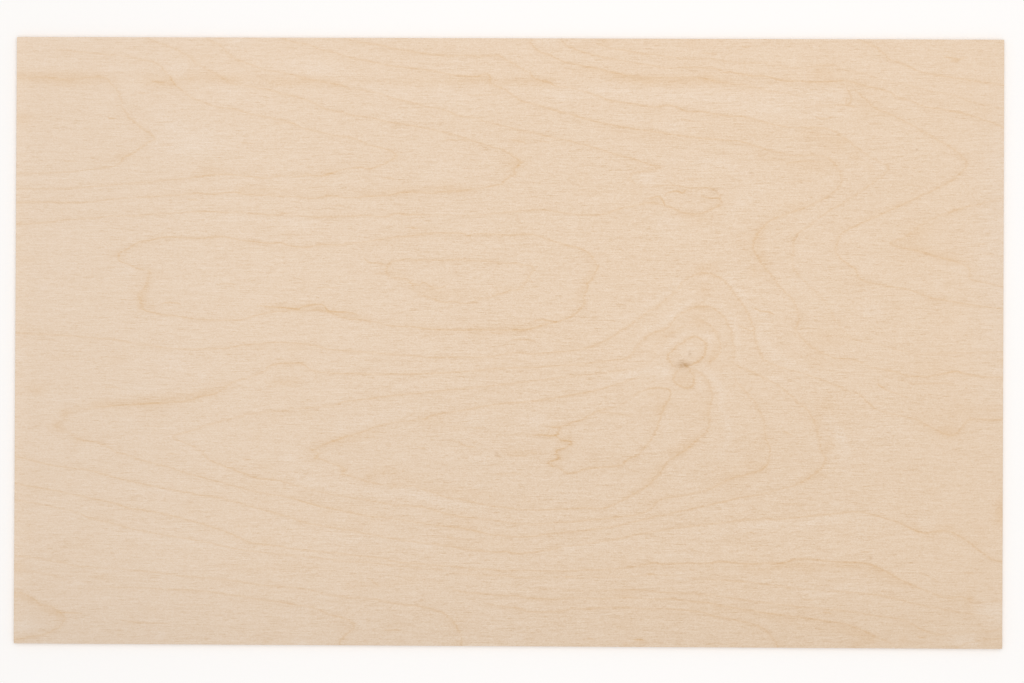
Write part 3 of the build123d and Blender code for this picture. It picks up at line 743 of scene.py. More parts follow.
# The noises of the wood: seed, size of a lump along the grain and across it, and detail
SPECKS = (2, 0.8 * MM, 0.44 * MM, 0.0)
STREAKS = (3, 20 * MM, 0.65 * MM, 0.0)
CLOUDS = (4, 38 * MM, 13 * MM, 2.0)
RING_WANDER = (7, 11 * MM, 5 * MM, 1.0)
RING_JAG = (8, 7 * MM, 0.7 * MM, 2.0)
RING_GAPS = (9, 16 * MM, 4 * MM, 1.0)
RING_BREAKS = (10, 3 * MM, 0.7 * MM, 1.0)
FIBRE_SEED = 1
DASH_SEED = 5

# The marks of the saw, which run up the sides: seed, sizes along X, Y and Z, and detail
SAW_MARKS = (6, (0.9 * MM, 0.9 * MM, 14 * MM), 1.0)

# The depth at which the sawn skin begins, and at which it is full
SAWN_FROM, SAWN_TO = 0.15 * MM, 0.08 * MM

# How far apart in the noise the draws of two seeds lie, its roughness, and what stretches it to about -1 to 1
SEED_STEP = (17.3, 5.1, 9.7)
NOISE_ROUGHNESS = 0.55
NOISE_GAIN = 4.0

# The heights of the noise between which a dash begins, how far the clouds lift it, and how much longer than a
# dash a soft fibre is
DASH_FROM, DASH_TO = 0.5, 1.0
CLOUD_LIFT = 0.2
FIBRE_STRETCH = 1.6

# How far a ring line wanders and jags, in millimetres, and the share of that jag in a short mark
LINE_WANDER, LINE_JAG, MARK_JAG = 0.25, 1.5, 0.3

# How much of a ring line shows, how far gaps and breaks change that, and how much the pin knot calms them
LINE_SHOWS, LINE_GAPS, LINE_BREAKS, KNOT_CALMS = 0.94, 0.30, 0.36, 0.7

# How much of a soft band shows everywhere, and how much only where a ring line would
BAND_SHOWS, BAND_BREAKS = 0.5, 0.55

# In millimetres from a ring line: where the darker wood inside it begins and is full, and where the paler
# wood outside it has its middle and half its width
INSIDE_FROM, INSIDE_TO = -0.3, 0.6
OUTSIDE_MIDDLE, OUTSIDE_WIDTH = 4.0, 2.0

# How dark the clouds and the saw's marks are, how deep those marks are beside the texture, how ragged a spot
# of the knot is, how much a glue line covers, and how much rougher fibres and end grain are
CLOUD_DARK, SAW_MARK_DARK, SAW_MARK_DEPTH = 0.02, 0.15, 2.0
SPOT_RAGGED, GLUE_COVERS = 0.7, 0.8
ROUGH_FIBRES, ROUGH_ENDS = 0.05, 0.15

# The sockets of a Mix node that mixes colours
MIX_SHARE, MIX_FIRST, MIX_SECOND, MIX_RESULT = 0, 6, 7, 2


def colour(name, description, default):
    """A colour that a user can change, in linear light."""
    return FloatVectorProperty(name=name, description=description, default=default, size=3, min=0.0, max=1.0,
                               subtype="COLOR")


def length(name, description, default):
    """A length that a user can change, in metres."""
    return FloatProperty(name=name, description=description, default=default, min=0.0, precision=5,
                         unit="LENGTH", subtype="DISTANCE")


def share(name, description, default):
    """A share that a user can change."""
    return FloatProperty(name=name, description=description, default=default, min=0.0, max=1.0, precision=3,
                         subtype="FACTOR")


class WoodLook(bpy.types.PropertyGroup):
    """Colours, sizes and strengths of the grain."""

    face: colour("Face Wood", "Face ply between its rings and fibres", (0.784, 0.610, 0.4525))
    core: colour("Core Wood", "Core ply between its fibres", (0.700, 0.520, 0.360))
    back: colour("Back Wood", "Back ply between its rings and fibres", (0.770, 0.595, 0.440))
    fine_shade: colour("Fine Shade", "Share of red, green and blue that the fine texture takes away",
                       (0.152, 0.250, 0.390))
    ring_shade: colour("Ring Shade", "Share of red, green and blue that a ring line takes away",
                       (0.120, 0.265, 0.480))
    knot: colour("Knot", "Heart of the pin knot", (0.450, 0.240, 0.078))
    glue: colour("Glue Line", "Cured glue between the plies", (0.210, 0.110, 0.050))
    knot_calm: length("Knot Calm", "How far round the pin knot the rings are unbroken", 45.0 * MM)
    ring_width: length("Ring Line Width", "Half the width of a ring line", 0.55 * MM)
    ring_skirt: length("Ring Skirt", "How far a ring line's soft edge reaches", 1.3 * MM)
    ring_reach: length("Ring Reach", "How far a ring darkens inside its line", 6.0 * MM)
    fibre_length: length("Fibre Length", "Length of the short dark fibres along the grain", 5.0 * MM)
    fibre_width: length("Fibre Width", "Width of the short dark fibres", 0.44 * MM)
    glue_width: length("Glue Width", "Half the width of a glue line", 0.05 * MM)
    pore_depth: length("Pore Depth", "Depth of the finest relief", 0.03 * MM)
    line_dark: share("Line Strength", "How dark the middle of a ring line is", 0.30)
    skirt_dark: share("Skirt Strength", "How dark the soft edge of a ring line is", 0.09)
    inside_dark: share("Inside Strength", "How dark a ring is inside its line", 0.045)
    outside_pale: share("Outside Strength", "How pale the wood is just outside a ring line", 0.013)
    dash_dark: share("Dash Strength", "How dark the short dashes are", 0.37)
    speck_dark: share("Speck Strength", "How dark the specks are", 0.26)
    fibre_dark: share("Fibre Strength", "How dark the soft fibres are", 0.12)
    streak_dark: share("Streak Strength", "How dark the long streaks are", 0.12)
    end_dark: share("End Grain Strength", "How much darker the end grain is", 0.55)
    sawn_dark: share("Sawn Strength", "How much darker the sawn sides are", 0.15)
    roughness: share("Roughness", "Roughness of the sanded wood", 0.62)
    gloss: share("Gloss", "How strongly the bare wood reflects", 0.25)


class PlyCut(bpy.types.PropertyGroup):
    """Sizes of the modelled plies."""

    face_pitch: length("Face Pitch", "Distance between the points that carry the face's figure", 1.8 * MM)
    back_pitch: length("Back Pitch", "Distance between the points that carry the back's figure", 4.0 * MM)
    eased_edge: length("Eased Edge", "What sanding takes off the outer edges", 0.2 * MM)
    saw_fuzz: length("Saw Fuzz", "How far the sawn sides wander", 0.05 * MM)
    seed: IntProperty(name="Seed", description="Draw of the random wander", default=7, min=0)


class StageLook(bpy.types.PropertyGroup):
    """Camera, lamps and floor."""

    camera_place: FloatVectorProperty(name="Camera Place", description="Where the lens is above the sheet",
                                      default=(0.0150, -0.0046, 1.3137), subtype="TRANSLATION", unit="LENGTH")
    camera_turn: FloatVectorProperty(name="Camera Turn", description="Tilts and roll of the camera",
                                     default=(math.radians(0.22), math.radians(0.544), math.radians(0.248)),
                                     subtype="EULER", unit="ROTATION")
    lens: FloatProperty(name="Lens", description="Focal length in millimetres", default=70.0, min=10.0)
    film: FloatProperty(name="Film Width", description="Sensor width in millimetres", default=36.0, min=1.0)
    floor_size: length("Floor Size", "Side of the floor", 8.0)
    floor: colour("Floor", "Pale floor", (0.984, 0.963, 0.946))
    lamp_place: FloatVectorProperty(name="Lamp Place", description="Middle of the overhead lamp",
                                    default=(0.1, 0.12, 1.9), subtype="TRANSLATION", unit="LENGTH")
    lamp_size: length("Lamp Size", "Side of the overhead lamp", 2.0)
    lamp_power: FloatProperty(name="Lamp Power", description="Overhead lamp in watts", default=23.0, min=0.0)
    sky_strength: FloatProperty(name="Sky Strength", description="Even light from all round", default=0.55,
                                min=0.0)


def settings():
    """The scene's three groups of sizes and colours."""
    scene = bpy.context.scene
    return scene.plywood_wood, scene.plywood_cut, scene.plywood_stage


def on_sheet(pixel_x, pixel_y):
    """The point of the sheet's face that the camera sees at a pixel of the photograph, in metres."""
    stage = settings()[2]
    pixel = stage.film / stage.lens / PHOTO_WIDTH
    ray = Vector(((pixel_x - PHOTO_WIDTH / 2) * pixel, (PHOTO_HEIGHT / 2 - pixel_y) * pixel, -1.0))
    ray.rotate(Euler(stage.camera_turn))
    place = Vector(stage.camera_place)
    return place + ray * ((FACE_HIGH.z - place.z) / ray.z)


def on_sheet_all(points):
    """The places of the sheet's face, as rows of X and Y, that the camera sees at some pixels."""
    return np.array([on_sheet(point[0], point[1])[:2] for point in points])


def pixel_size():
    """The length on the face of one pixel at the middle of the photograph, in metres."""
    middle_x, middle_y = PHOTO_WIDTH / 2, PHOTO_HEIGHT / 2
    return (on_sheet(middle_x + 1, middle_y) - on_sheet(middle_x, middle_y)).length


# Figure: ring lines, painted on the points of a ply


def smooth_route(points, spacing):
    """Places along a smooth curve through points, and the directions and darkness there."""
    places = on_sheet_all(points)
    dark = []
    for point in points:
        dark.append(point[2] if len(point) > 2 else dark[-1])
    if np.allclose(places[0], places[-1]):
        before, after = places[-2], places[1]
    else:
        before, after = 2 * places[0] - places[1], 2 * places[-1] - places[-2]
    padded = np.vstack([before, places, after])
    knots = np.concatenate([[0.0], np.cumsum(np.sqrt(np.linalg.norm(np.diff(padded, axis=0), axis=1)))])
    stretches = []
    darkness = []
    for index in range(1, len(padded) - 2):
        t0, t1, t2, t3 = knots[index - 1:index + 3]
        p0, p1, p2, p3 = padded[index - 1:index + 3]
        count = max(2, round(float(np.linalg.norm(p2 - p1)) / spacing))
        portion = np.arange(count)[:, None] / count
        t = t1 + (t2 - t1) * portion
        a1 = (t1 - t) / (t1 - t0) * p0 + (t - t0) / (t1 - t0) * p1
        a2 = (t2 - t) / (t2 - t1) * p1 + (t - t1) / (t2 - t1) * p2
        a3 = (t3 - t) / (t3 - t2) * p2 + (t - t2) / (t3 - t2) * p3
        b1 = (t2 - t) / (t2 - t0) * a1 + (t - t0) / (t2 - t0) * a2
        b2 = (t3 - t) / (t3 - t1) * a2 + (t - t1) / (t3 - t1) * a3
        stretches.append((t2 - t) / (t2 - t1) * b1 + (t - t1) / (t2 - t1) * b2)
        darkness.append(dark[index - 1] + (dark[index] - dark[index - 1]) * portion[:, 0])
    stretches.append(places[-1:])
    darkness.append(dark[-1:])
    route = np.vstack(stretches)
    along = np.gradient(route, axis=0)
    along /= np.linalg.norm(along, axis=1)[:, None]
    return route, along, np.concatenate(darkness)


def nearest_on_lines(points, lines, spacing):
    """For each point (x, y), its distance to the nearest line, positive on the line's inner side, how dark
    the line is there, and which way is inner."""
    routes = [smooth_route(line, spacing) for line in lines]
    route = np.vstack([item[0] for item in routes])
    along = np.vstack([item[1] for item in routes])
    dark = np.concatenate([item[2] for item in routes])
    tree = kdtree.KDTree(len(route))
    for index, place in enumerate(route):
        tree.insert((place[0], place[1], 0.0), index)
    tree.balance()
    nearest = np.array([tree.find((x, y, 0.0))[1] for x, y in points])
    offset = points - route[nearest]
    direction = along[nearest]
    inner = np.stack([direction[:, 1], -direction[:, 0]], axis=1)
    beside = np.sum(offset * inner, axis=1)
    past = np.abs(np.sum(offset * direction, axis=1))
    straight = np.linalg.norm(offset, axis=1)
    signed = np.where(past < spacing, beside, np.where(beside < 0.0, -straight, straight))
    return signed, dark[nearest], inner


def vertex_places(mesh):
    """The places of a mesh's vertices, one row for each."""
    places = np.zeros(len(mesh.vertices) * 3)
    mesh.vertices.foreach_get("co", places)
    return places.reshape(-1, 3)


def keep(mesh, layer, values):
    """Keeps a number, or a row of three numbers, for each vertex of a mesh."""
    kind, field = ("FLOAT", "value") if values.ndim == 1 else ("FLOAT_VECTOR", "vector")
    mesh.attributes.new(layer, kind, "POINT").data.foreach_set(field, values.ravel())


def faded(away, span):
    """1 close to a line, and down to 0 at the end of its span."""
    return np.clip((span - np.abs(away)) / (FADING_SHARE * span), 0.0, 1.0)


def paint_lines(mesh, layer, points, lines, span):
    """Keeps on the mesh, for each point, its distance to the nearest line in millimetres, how dark the line
    is there, and how much of that distance lies along the grain."""
    signed, dark, inner = nearest_on_lines(points, lines, LINE_STEP)
    keep(mesh, layer, np.stack([signed / MM, dark * faded(signed, span), inner[:, 0]], axis=1))


def face_tone(points):
    """How dark the soft bands and patches of the face make each point."""
    pixel = pixel_size()
    tone = np.zeros(len(points))
    for half_width, band in FACE_BANDS:
        width = half_width * pixel
        places = on_sheet_all(band)
        low, high = places.min(axis=0) - BAND_SPAN * width, places.max(axis=0) + BAND_SPAN * width
        close = np.all((points > low) & (points < high), axis=1)
        signed, dark, _ = nearest_on_lines(points[close], [band], BAND_STEP)
        tone[close] += dark * np.exp(-(signed / width) ** 2)
    for pixel_x, pixel_y, half_length, half_height, amount in FACE_PATCHES:
        offset = points - on_sheet_all([(pixel_x, pixel_y)])
        tone += amount * np.exp(-np.sum((offset / (half_length * pixel, half_height * pixel)) ** 2, axis=1))
    return tone


def swell(value, middle, reach):
    """1 at a middle value, falling off within about reach."""
    return np.exp(-((value - middle) / reach) ** 2)


def ramp(value, low, high):
    """0 below low, 1 above high, and straight between."""
    return np.clip((value - low) / (high - low), 0.0, 1.0)


def slow_changes(changes, along, down):
    """What the slow changes of a list add up to at each point."""
    total = np.zeros(len(along))
    for amount, place_along, reach_along, place_down, reach_down in changes:
        total += amount * swell(along, place_along, reach_along) * swell(down, place_down, reach_down)
    return total


def face_painted_light(points):
    """The slow changes over the face: painted light and shade, with a cooler tint towards the left end that
    stands in for cooler light and painted shade that darkens it below, and how coarse its fine texture is."""
    along = (points[:, 0] - FACE_LOW.x) / SHEET_LENGTH
    down = (FACE_HIGH.y - points[:, 1]) / SHEET_WIDTH
    low_right = ramp(along, 0.45, 0.75) * down
    near_edge = ramp(down, 0.75, 1.0) ** 2
    right = ramp(along, 0.1, 0.5)
    low_middle = swell(along, 0.6, 0.3) * down
    # Painted cooler light towards the ends, and warmer low on the right
    cool_light = slow_changes(FACE_COOL_LIGHT, along, down) - WARM_LOW_RIGHT * low_right
    # Painted shade, darker further down and along the near edge and lighter near the top
    dark = slow_changes(FACE_PAINTED_SHADE, along, down) + FACE_DARK
    dark += SHADE_DOWN * down ** 2 + SHADE_NEAR_EDGE * near_edge
    coarse = slow_changes(FACE_COARSER, along, down) + FACE_COARSE
    coarse += COARSE_RIGHT * right + COARSE_LOW_MIDDLE * low_middle
    return 1.0 + np.outer(cool_light, COOL_GAIN) - dark[:, None], coarse


def paint_face(mesh):
    """Paints the photographed figure on the face ply, and the painted light and shade over it."""
    points = vertex_places(mesh)[:, :2]
    lines = list(FACE_RINGS.values())
    for number, layer in enumerate(RING_LAYERS):
        paint_lines(mesh, layer, points, lines[number::len(RING_LAYERS)], RING_SPAN)
    paint_lines(mesh, MARK_LAYER, points, FACE_MARKS, MARK_SPAN)
    keep(mesh, TONE_LAYER, face_tone(points))
    # Painted light and shade over the face, and how coarse its texture is
    painted_light, coarse = face_painted_light(points)
    keep(mesh, PAINTED_LIGHT_LAYER, painted_light)
    keep(mesh, COARSE_LAYER, coarse)


def back_figure(x, y):
    """Ring number of the back ply at a place, a smooth field whose whole numbers are its ring lines."""
    return sum(height * np.cos(2 * math.pi * (x / crest_x + y / crest_y + shift))
               for height, crest_x, crest_y, shift in BACK_WAVES)


def paint_back(mesh):
    """Paints a figure of its own on the back ply, which the photograph doesn't show."""
    x, y = vertex_places(mesh)[:, :2].T
    ring = back_figure(x, y)
    step = 0.5 * MM
    slope_x = (back_figure(x + step, y) - back_figure(x - step, y)) / (2 * step)
    slope_y = (back_figure(x, y + step) - back_figure(x, y - step)) / (2 * step)
    slope = np.hypot(slope_x, slope_y) + BACK_LEAST_SLOPE
    for number, layer in enumerate(RING_LAYERS):
        whole = number + len(RING_LAYERS) * np.round((ring - number) / len(RING_LAYERS))
        away = (ring - whole) / slope
        varied = np.cos(x / BACK_DARK_LENGTH + BACK_DARK_SHIFT * whole)
        dark = faded(away, RING_SPAN) * (BACK_DARK + BACK_DARK_VARIES * varied)
        keep(mesh, layer, np.stack([away / MM, dark, slope_x / slope], axis=1))


# Materials


class Wire:
    """A value that runs through a material. Arithmetic on it adds Math nodes."""

    def __init__(self, recipe, socket):
        self.recipe = recipe
        self.socket = socket

    def other(self, name):
        """Another output of the node that this value comes from."""
        return Wire(self.recipe, self.socket.node.outputs[name])

    def __add__(self, value):
        return self.recipe.maths("ADD", self, value)

    def __radd__(self, value):
        return self.recipe.maths("ADD", value, self)

    def __sub__(self, value):
        return self.recipe.maths("SUBTRACT", self, value)

    def __rsub__(self, value):
        return self.recipe.maths("SUBTRACT", value, self)

    def __mul__(self, value):
        return self.recipe.maths("MULTIPLY", self, value)

    def __rmul__(self, value):
        return self.recipe.maths("MULTIPLY", value, self)

    def __truediv__(self, value):
        return self.recipe.maths("DIVIDE", self, value)

    def __rtruediv__(self, value):
        return self.recipe.maths("DIVIDE", value, self)

    def __abs__(self):
        return self.recipe.maths("ABSOLUTE", self)


class Recipe:
    """The node tree of one material."""

    def __init__(self, name):
        self.material = bpy.data.materials.new(name)
        self.material.use_nodes = True
        self.tree = self.material.node_tree
        self.tree.nodes.clear()

    def node(self, kind, choices=None, values=None, out=0):
        """Adds a node, with its choices set first and then the values or wires of its sockets."""
        node = self.tree.nodes.new("ShaderNode" + kind)
        for name, choice in (choices or {}).items():
            setattr(node, name, choice)
        for name, value in (values or {}).items():
            if isinstance(value, Wire):
                self.tree.links.new(value.socket, node.inputs[name])
            else:
                node.inputs[name].default_value = value
        return Wire(self, node.outputs[out]) if node.outputs else node

    def maths(self, operation, *values):
        """A Math node."""
        return self.node("Math", {"operation": operation}, dict(enumerate(values)))

    def vector_maths(self, operation, *values, out=0):
        """A Vector Math node."""
        return self.node("VectorMath", {"operation": operation}, dict(enumerate(values)), out)

    def rise(self, value, low, high):
        """0 below low, 1 above high, and smooth between."""
        return self.node("MapRange", {"interpolation_type": "SMOOTHSTEP"},
                         {"Value": value, "From Min": low, "From Max": high})

    def bell(self, value, half_width):
        """1 where the value is 0, falling off within about half_width."""
        part = value / half_width
        return self.maths("EXPONENT", part * part * -1.0)

    def mix(self, part, first, second):
        """A colour between two, held to a part from 0 to 1."""
        return self.node("Mix", {"data_type": "RGBA", "clamp_factor": True},
                         {MIX_SHARE: part, MIX_FIRST: first, MIX_SECOND: (*second, 1.0)}, MIX_RESULT)

    def shade(self, base, amount, taken):
        """A colour less an amount of some share of its red, green and blue."""
        left = self.vector_maths("MULTIPLY_ADD", amount, [-part for part in taken], (1.0, 1.0, 1.0))
        return self.vector_maths("MULTIPLY", base, left)


class WoodRecipe(Recipe):
    """The node tree of a ply's wood, with its grain along X or Y."""

    def __init__(self, name, wood, grain):
        super().__init__(name)
        self.wood = wood
        self.grain = grain
        self.place = self.node("TexCoord", out="Object")
        self.axes = self.node("SeparateXYZ", None, {0: self.place})

    def noise(self, seed, sizes, detail):
        """Noise about zero whose lumps have these sizes along X, Y and Z, in metres."""
        stretched = self.vector_maths("MULTIPLY_ADD", self.place, [1 / size for size in sizes],
                                      [seed * step for step in SEED_STEP])
        lumps = self.node("TexNoise", {"noise_dimensions": "3D"},
                          {"Vector": stretched, "Scale": 1.0, "Detail": detail, "Roughness": NOISE_ROUGHNESS})
        return (lumps - 0.5) * NOISE_GAIN

    def grain_noise(self, seed, along, across, detail=0.0):
        """Noise about zero whose lumps have these sizes along the grain and across it."""
        sizes = (along, across, across) if self.grain == "X" else (across, along, across)
        return self.noise(seed, sizes, detail)

    def spot(self, middle, half_length, half_height):
        """1 at a point of the face, falling off within about these lengths."""
        offset = self.vector_maths("SUBTRACT", self.place, (middle.x, middle.y, 0.0))
        part = self.vector_maths("MULTIPLY", offset, (1 / half_length, 1 / half_height, 0.0))
        return self.maths("EXPONENT", self.vector_maths("DOT_PRODUCT", part, part, out="Value") * -1.0)

    def kept(self, layer, out="Fac"):
        """What a layer of the mesh keeps for each point."""
        return self.node("Attribute", {"attribute_name": layer}, out=out)

    def kept_lines(self, layer):
        """The distance, darkness and slant that a layer of lines keeps for each point."""
        distance = self.node("SeparateXYZ", None, {0: self.kept(layer, "Vector")})
        return distance, distance.other("Y"), distance.other("Z")

    def texture(self, clouds, fibres):
        """How much the fine grain darkens the wood, and is sunk in it."""
        wood = self.wood
        dashes = self.grain_noise(DASH_SEED, wood.fibre_length, wood.fibre_width)
        dashes = self.rise(dashes + clouds * CLOUD_LIFT, DASH_FROM, DASH_TO)
        specks = self.grain_noise(*SPECKS)
        streaks = self.grain_noise(*STREAKS)
        return (dashes * wood.dash_dark + specks * wood.speck_dark
                + fibres * wood.fibre_dark + streaks * wood.streak_dark)

    def sawn_sides(self):
        """1 in the skin of the two ends, and 1 in that of the two long sides."""
        return [self.rise(abs(place), size / 2 - SAWN_FROM, size / 2 - SAWN_TO)
                for place, size in ((self.axes, SHEET_LENGTH), (self.axes.other("Y"), SHEET_WIDTH))]

    def shown(self, breaks, pin_knot):
        """How much of a ring line shows, with gaps and breaks that are fewer round the pin knot."""
        calm = 1.0
        if pin_knot is not None:
            calm = 1.0 - self.spot(pin_knot, self.wood.knot_calm, self.wood.knot_calm) * KNOT_CALMS
        changes = (self.grain_noise(*RING_GAPS) * LINE_GAPS + breaks * LINE_BREAKS) * calm
        return self.maths("MAXIMUM", 0.0, LINE_SHOWS + changes)

    def ring_lines(self, jag, shown):
        """How dark the ring lines make the wood, with the soft shade beside them."""
        wood = self.wood
        wander = self.grain_noise(*RING_WANDER) * LINE_WANDER
        total = 0.0
        for layer in RING_LAYERS:
            distance, dark, slant = self.kept_lines(layer)
            away = distance + slant * jag + wander
            line = self.bell(away, wood.ring_width / MM) * shown
            skirt = self.maths("EXPONENT", abs(away) * (-MM / wood.ring_skirt))
            inside = self.rise(away, INSIDE_FROM, INSIDE_TO)
            inside = inside * self.maths("EXPONENT", away * (-MM / wood.ring_reach))
            outside = self.bell(away + OUTSIDE_MIDDLE, OUTSIDE_WIDTH)
            total = total + dark * (line * wood.line_dark + skirt * wood.skirt_dark
                                    + inside * wood.inside_dark - outside * wood.outside_pale)
        return total

    def short_marks(self, jag):
        """How dark the short marks make the wood."""
        distance, dark, slant = self.kept_lines(MARK_LAYER)
        return dark * self.bell(distance + slant * jag * MARK_JAG, self.wood.ring_width / MM)

    def knot_spot(self, base, breaks, middle, half_length, half_height, amount):
        """The wood with a ragged spot of the knot's colour."""
        ragged = amount + breaks * (amount * SPOT_RAGGED)
        return self.mix(self.spot(middle, half_length, half_height) * ragged, base, self.wood.knot)

    def glue_lines(self, base):
        """The wood with the glue lines that show on the sawn sides."""
        glue = 0.0
        for height in GLUE_HEIGHTS:
            glue = glue + self.bell(self.axes.other("Z") - height, self.wood.glue_width)
        return self.mix(glue * GLUE_COVERS, base, self.wood.glue)

    def surface(self, base, roughness, relief):
        """Dull bare wood with this colour, roughness and relief."""
        normal = self.node("Bump", None,
                           {"Strength": 1.0, "Distance": self.wood.pore_depth, "Height": relief})
        shader = self.node("BsdfPrincipled", None,
                           {"Base Color": base, "Roughness": roughness, "Normal": normal,
                            "Specular IOR Level": self.wood.gloss})
        self.node("OutputMaterial", None, {"Surface": shader})
        return self.material


def ply_wood(name, wood, plain, grain, figure, marked=False, spots=()):
    """A ply's wood from its plain colour, with its grain, sawn sides and glue lines, the ring lines where it
    has a figure, and the bands, marks, spots and painted light and shade where it is the photographed face."""
    recipe = WoodRecipe(name, wood, grain)
    clouds = recipe.grain_noise(*CLOUDS)
    fibres = recipe.grain_noise(FIBRE_SEED, FIBRE_STRETCH * wood.fibre_length, wood.fibre_width)
    texture = recipe.texture(clouds, fibres)
    ends, sides = recipe.sawn_sides()
    end_grain = ends if grain == "X" else sides
    sawn = recipe.maths("MAXIMUM", ends, sides)
    saw_marks = recipe.noise(*SAW_MARKS)
    darkness = clouds * CLOUD_DARK + end_grain * wood.end_dark
    darkness = darkness + sawn * (wood.sawn_dark + saw_marks * SAW_MARK_DARK)
    relief = saw_marks * sawn * SAW_MARK_DEPTH - texture

    if figure:
        jag = recipe.grain_noise(*RING_JAG) * LINE_JAG
        breaks = recipe.grain_noise(*RING_BREAKS)
        shown = recipe.shown(breaks, spots[0][0] if spots else None)
        darkness = darkness + recipe.ring_lines(jag, shown)
    if marked:
        darkness = darkness + recipe.kept(TONE_LAYER) * (BAND_SHOWS + shown * BAND_BREAKS)
        darkness = darkness + recipe.short_marks(jag)
        texture = texture * recipe.kept(COARSE_LAYER)
    base = recipe.shade(plain, darkness, wood.ring_shade)
    base = recipe.shade(base, texture, wood.fine_shade)
    # Painted light and shade on the face: cooler towards the left end and darker further down
    if marked:
        base = recipe.vector_maths("MULTIPLY", base, recipe.kept(PAINTED_LIGHT_LAYER, "Vector"))
    for spot in spots:
        base = recipe.knot_spot(base, breaks, *spot)
    roughness = wood.roughness + fibres * ROUGH_FIBRES + end_grain * ROUGH_ENDS
    return recipe.surface(recipe.glue_lines(base), roughness, relief)


# Modelling helpers


def deselect_all():
    """Takes the selection off everything, so that the next operator acts on its own piece alone."""
    bpy.ops.object.select_all(action="DESELECT")


def select_vertices(test):
    """Selects the edited mesh's vertices whose place passes a test, and the edges and faces between them."""
    bpy.ops.object.mode_set(mode="OBJECT")
    mesh = bpy.context.object.data
    chosen = test(*vertex_places(mesh).T)
    mesh.vertices.foreach_set("select", chosen)
    starts, ends = np.array([edge.vertices[:] for edge in mesh.edges]).T
    mesh.edges.foreach_set("select", chosen[starts] & chosen[ends])
    mesh.polygons.foreach_set("select", [all(chosen[v] for v in face.vertices) for face in mesh.polygons])
    bpy.ops.object.mode_set(mode="EDIT")


def model_veneer(name, low, high, outer, pitch, cut):
    """One outer ply: a fine grid on its outer side, drawn down to a sawn edge, with the outer edges eased."""
    inner = low.z if outer == high.z else high.z
    size_x, size_y = high.x - low.x, high.y - low.y
    deselect_all()
    bpy.ops.mesh.primitive_grid_add(x_subdivisions=round(size_x / pitch),
                                    y_subdivisions=round(size_y / pitch),
                                    size=1.0, location=(0.0, 0.0, outer))
    piece = bpy.context.object
    piece.name = piece.data.name = name
    bpy.ops.object.mode_set(mode="EDIT")
    bpy.ops.mesh.select_mode(type="VERT")
    bpy.ops.mesh.select_all(action="SELECT")
    bpy.ops.transform.resize(value=(size_x, size_y, 1.0))
    bpy.ops.mesh.select_all(action="DESELECT")
    bpy.ops.mesh.select_mode(type="EDGE")
    bpy.ops.mesh.select_non_manifold()
    bpy.ops.mesh.extrude_edges_move(TRANSFORM_OT_translate={"value": (0.0, 0.0, inner - outer)})
    bpy.ops.mesh.edge_face_add()
    bpy.ops.mesh.select_all(action="SELECT")
    bpy.ops.mesh.normals_make_consistent(inside=False)
    bpy.ops.object.mode_set(mode="OBJECT")
    bpy.ops.object.transform_apply(location=True, rotation=True, scale=True)
    bpy.ops.object.mode_set(mode="EDIT")
    near = 0.01 * MM

    def at_sides(x, y):
        return (np.abs(x) > size_x / 2 - near) | (np.abs(y) > size_y / 2 - near)

    select_vertices(lambda x, y, z: at_sides(x, y) & (np.abs(z - outer) < near))
    bpy.ops.mesh.bevel(offset=cut.eased_edge, offset_type="OFFSET", segments=2, profile=0.5)

    select_vertices(lambda x, y, z: at_sides(x, y) & (np.abs(z - inner) > near))
    bpy.ops.transform.vertex_random(offset=cut.saw_fuzz, uniform=0.0, normal=0.0, seed=cut.seed)
    inward = (1.0 - 2 * cut.saw_fuzz / size_x, 1.0 - 2 * cut.saw_fuzz / size_y, 1.0)
    bpy.ops.transform.resize(value=inward, center_override=(0.0, 0.0, 0.0))
    bpy.ops.object.mode_set(mode="OBJECT")
    return piece


def hold(piece, node):
    """Makes a modelled ply stand for its CAD node and ride with it."""
    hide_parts(node)
    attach(piece, "root")


# Operators, one for each ply and one for the stage


class PLYWOOD_OT_face_veneer(bpy.types.Operator):
    """Models the face ply and paints the photographed figure on it"""

    bl_idname = "plywood.face_veneer"
    bl_label = "Face Veneer"

    def execute(self, context):
        wood, cut, _ = settings()
        piece = model_veneer("face_ply", FACE_LOW, FACE_HIGH, FACE_HIGH.z, cut.face_pitch, cut)
        paint_face(piece.data)
        pixel = pixel_size()
        spots = [(on_sheet(x, y), half_length * pixel, half_height * pixel, amount)
                 for x, y, half_length, half_height, amount in KNOT_SPOTS]
        piece.data.materials.append(ply_wood("face_wood", wood, wood.face, "X", figure=True, marked=True,
                                             spots=spots))
        hold(piece, "face_veneer")
        return {"FINISHED"}


class PLYWOOD_OT_core_veneer(bpy.types.Operator):
    """Finishes the core ply, whose grain runs across the others"""

    bl_idname = "plywood.core_veneer"
    bl_label = "Core Veneer"

    def execute(self, context):
        wood = settings()[0]
        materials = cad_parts["core_veneer"].data.materials
        materials.clear()
        materials.append(ply_wood("core_wood", wood, wood.core, "Y", figure=False))
        return {"FINISHED"}


class PLYWOOD_OT_back_veneer(bpy.types.Operator):
    """Models the back ply and paints a figure of its own on it"""

    bl_idname = "plywood.back_veneer"
    bl_label = "Back Veneer"

    def execute(self, context):
        wood, cut, _ = settings()
        piece = model_veneer("back_ply", BACK_LOW, BACK_HIGH, BACK_LOW.z, cut.back_pitch, cut)
        paint_back(piece.data)
        piece.data.materials.append(ply_wood("back_wood", wood, wood.back, "X", figure=True))
        hold(piece, "back_veneer")
        return {"FINISHED"}


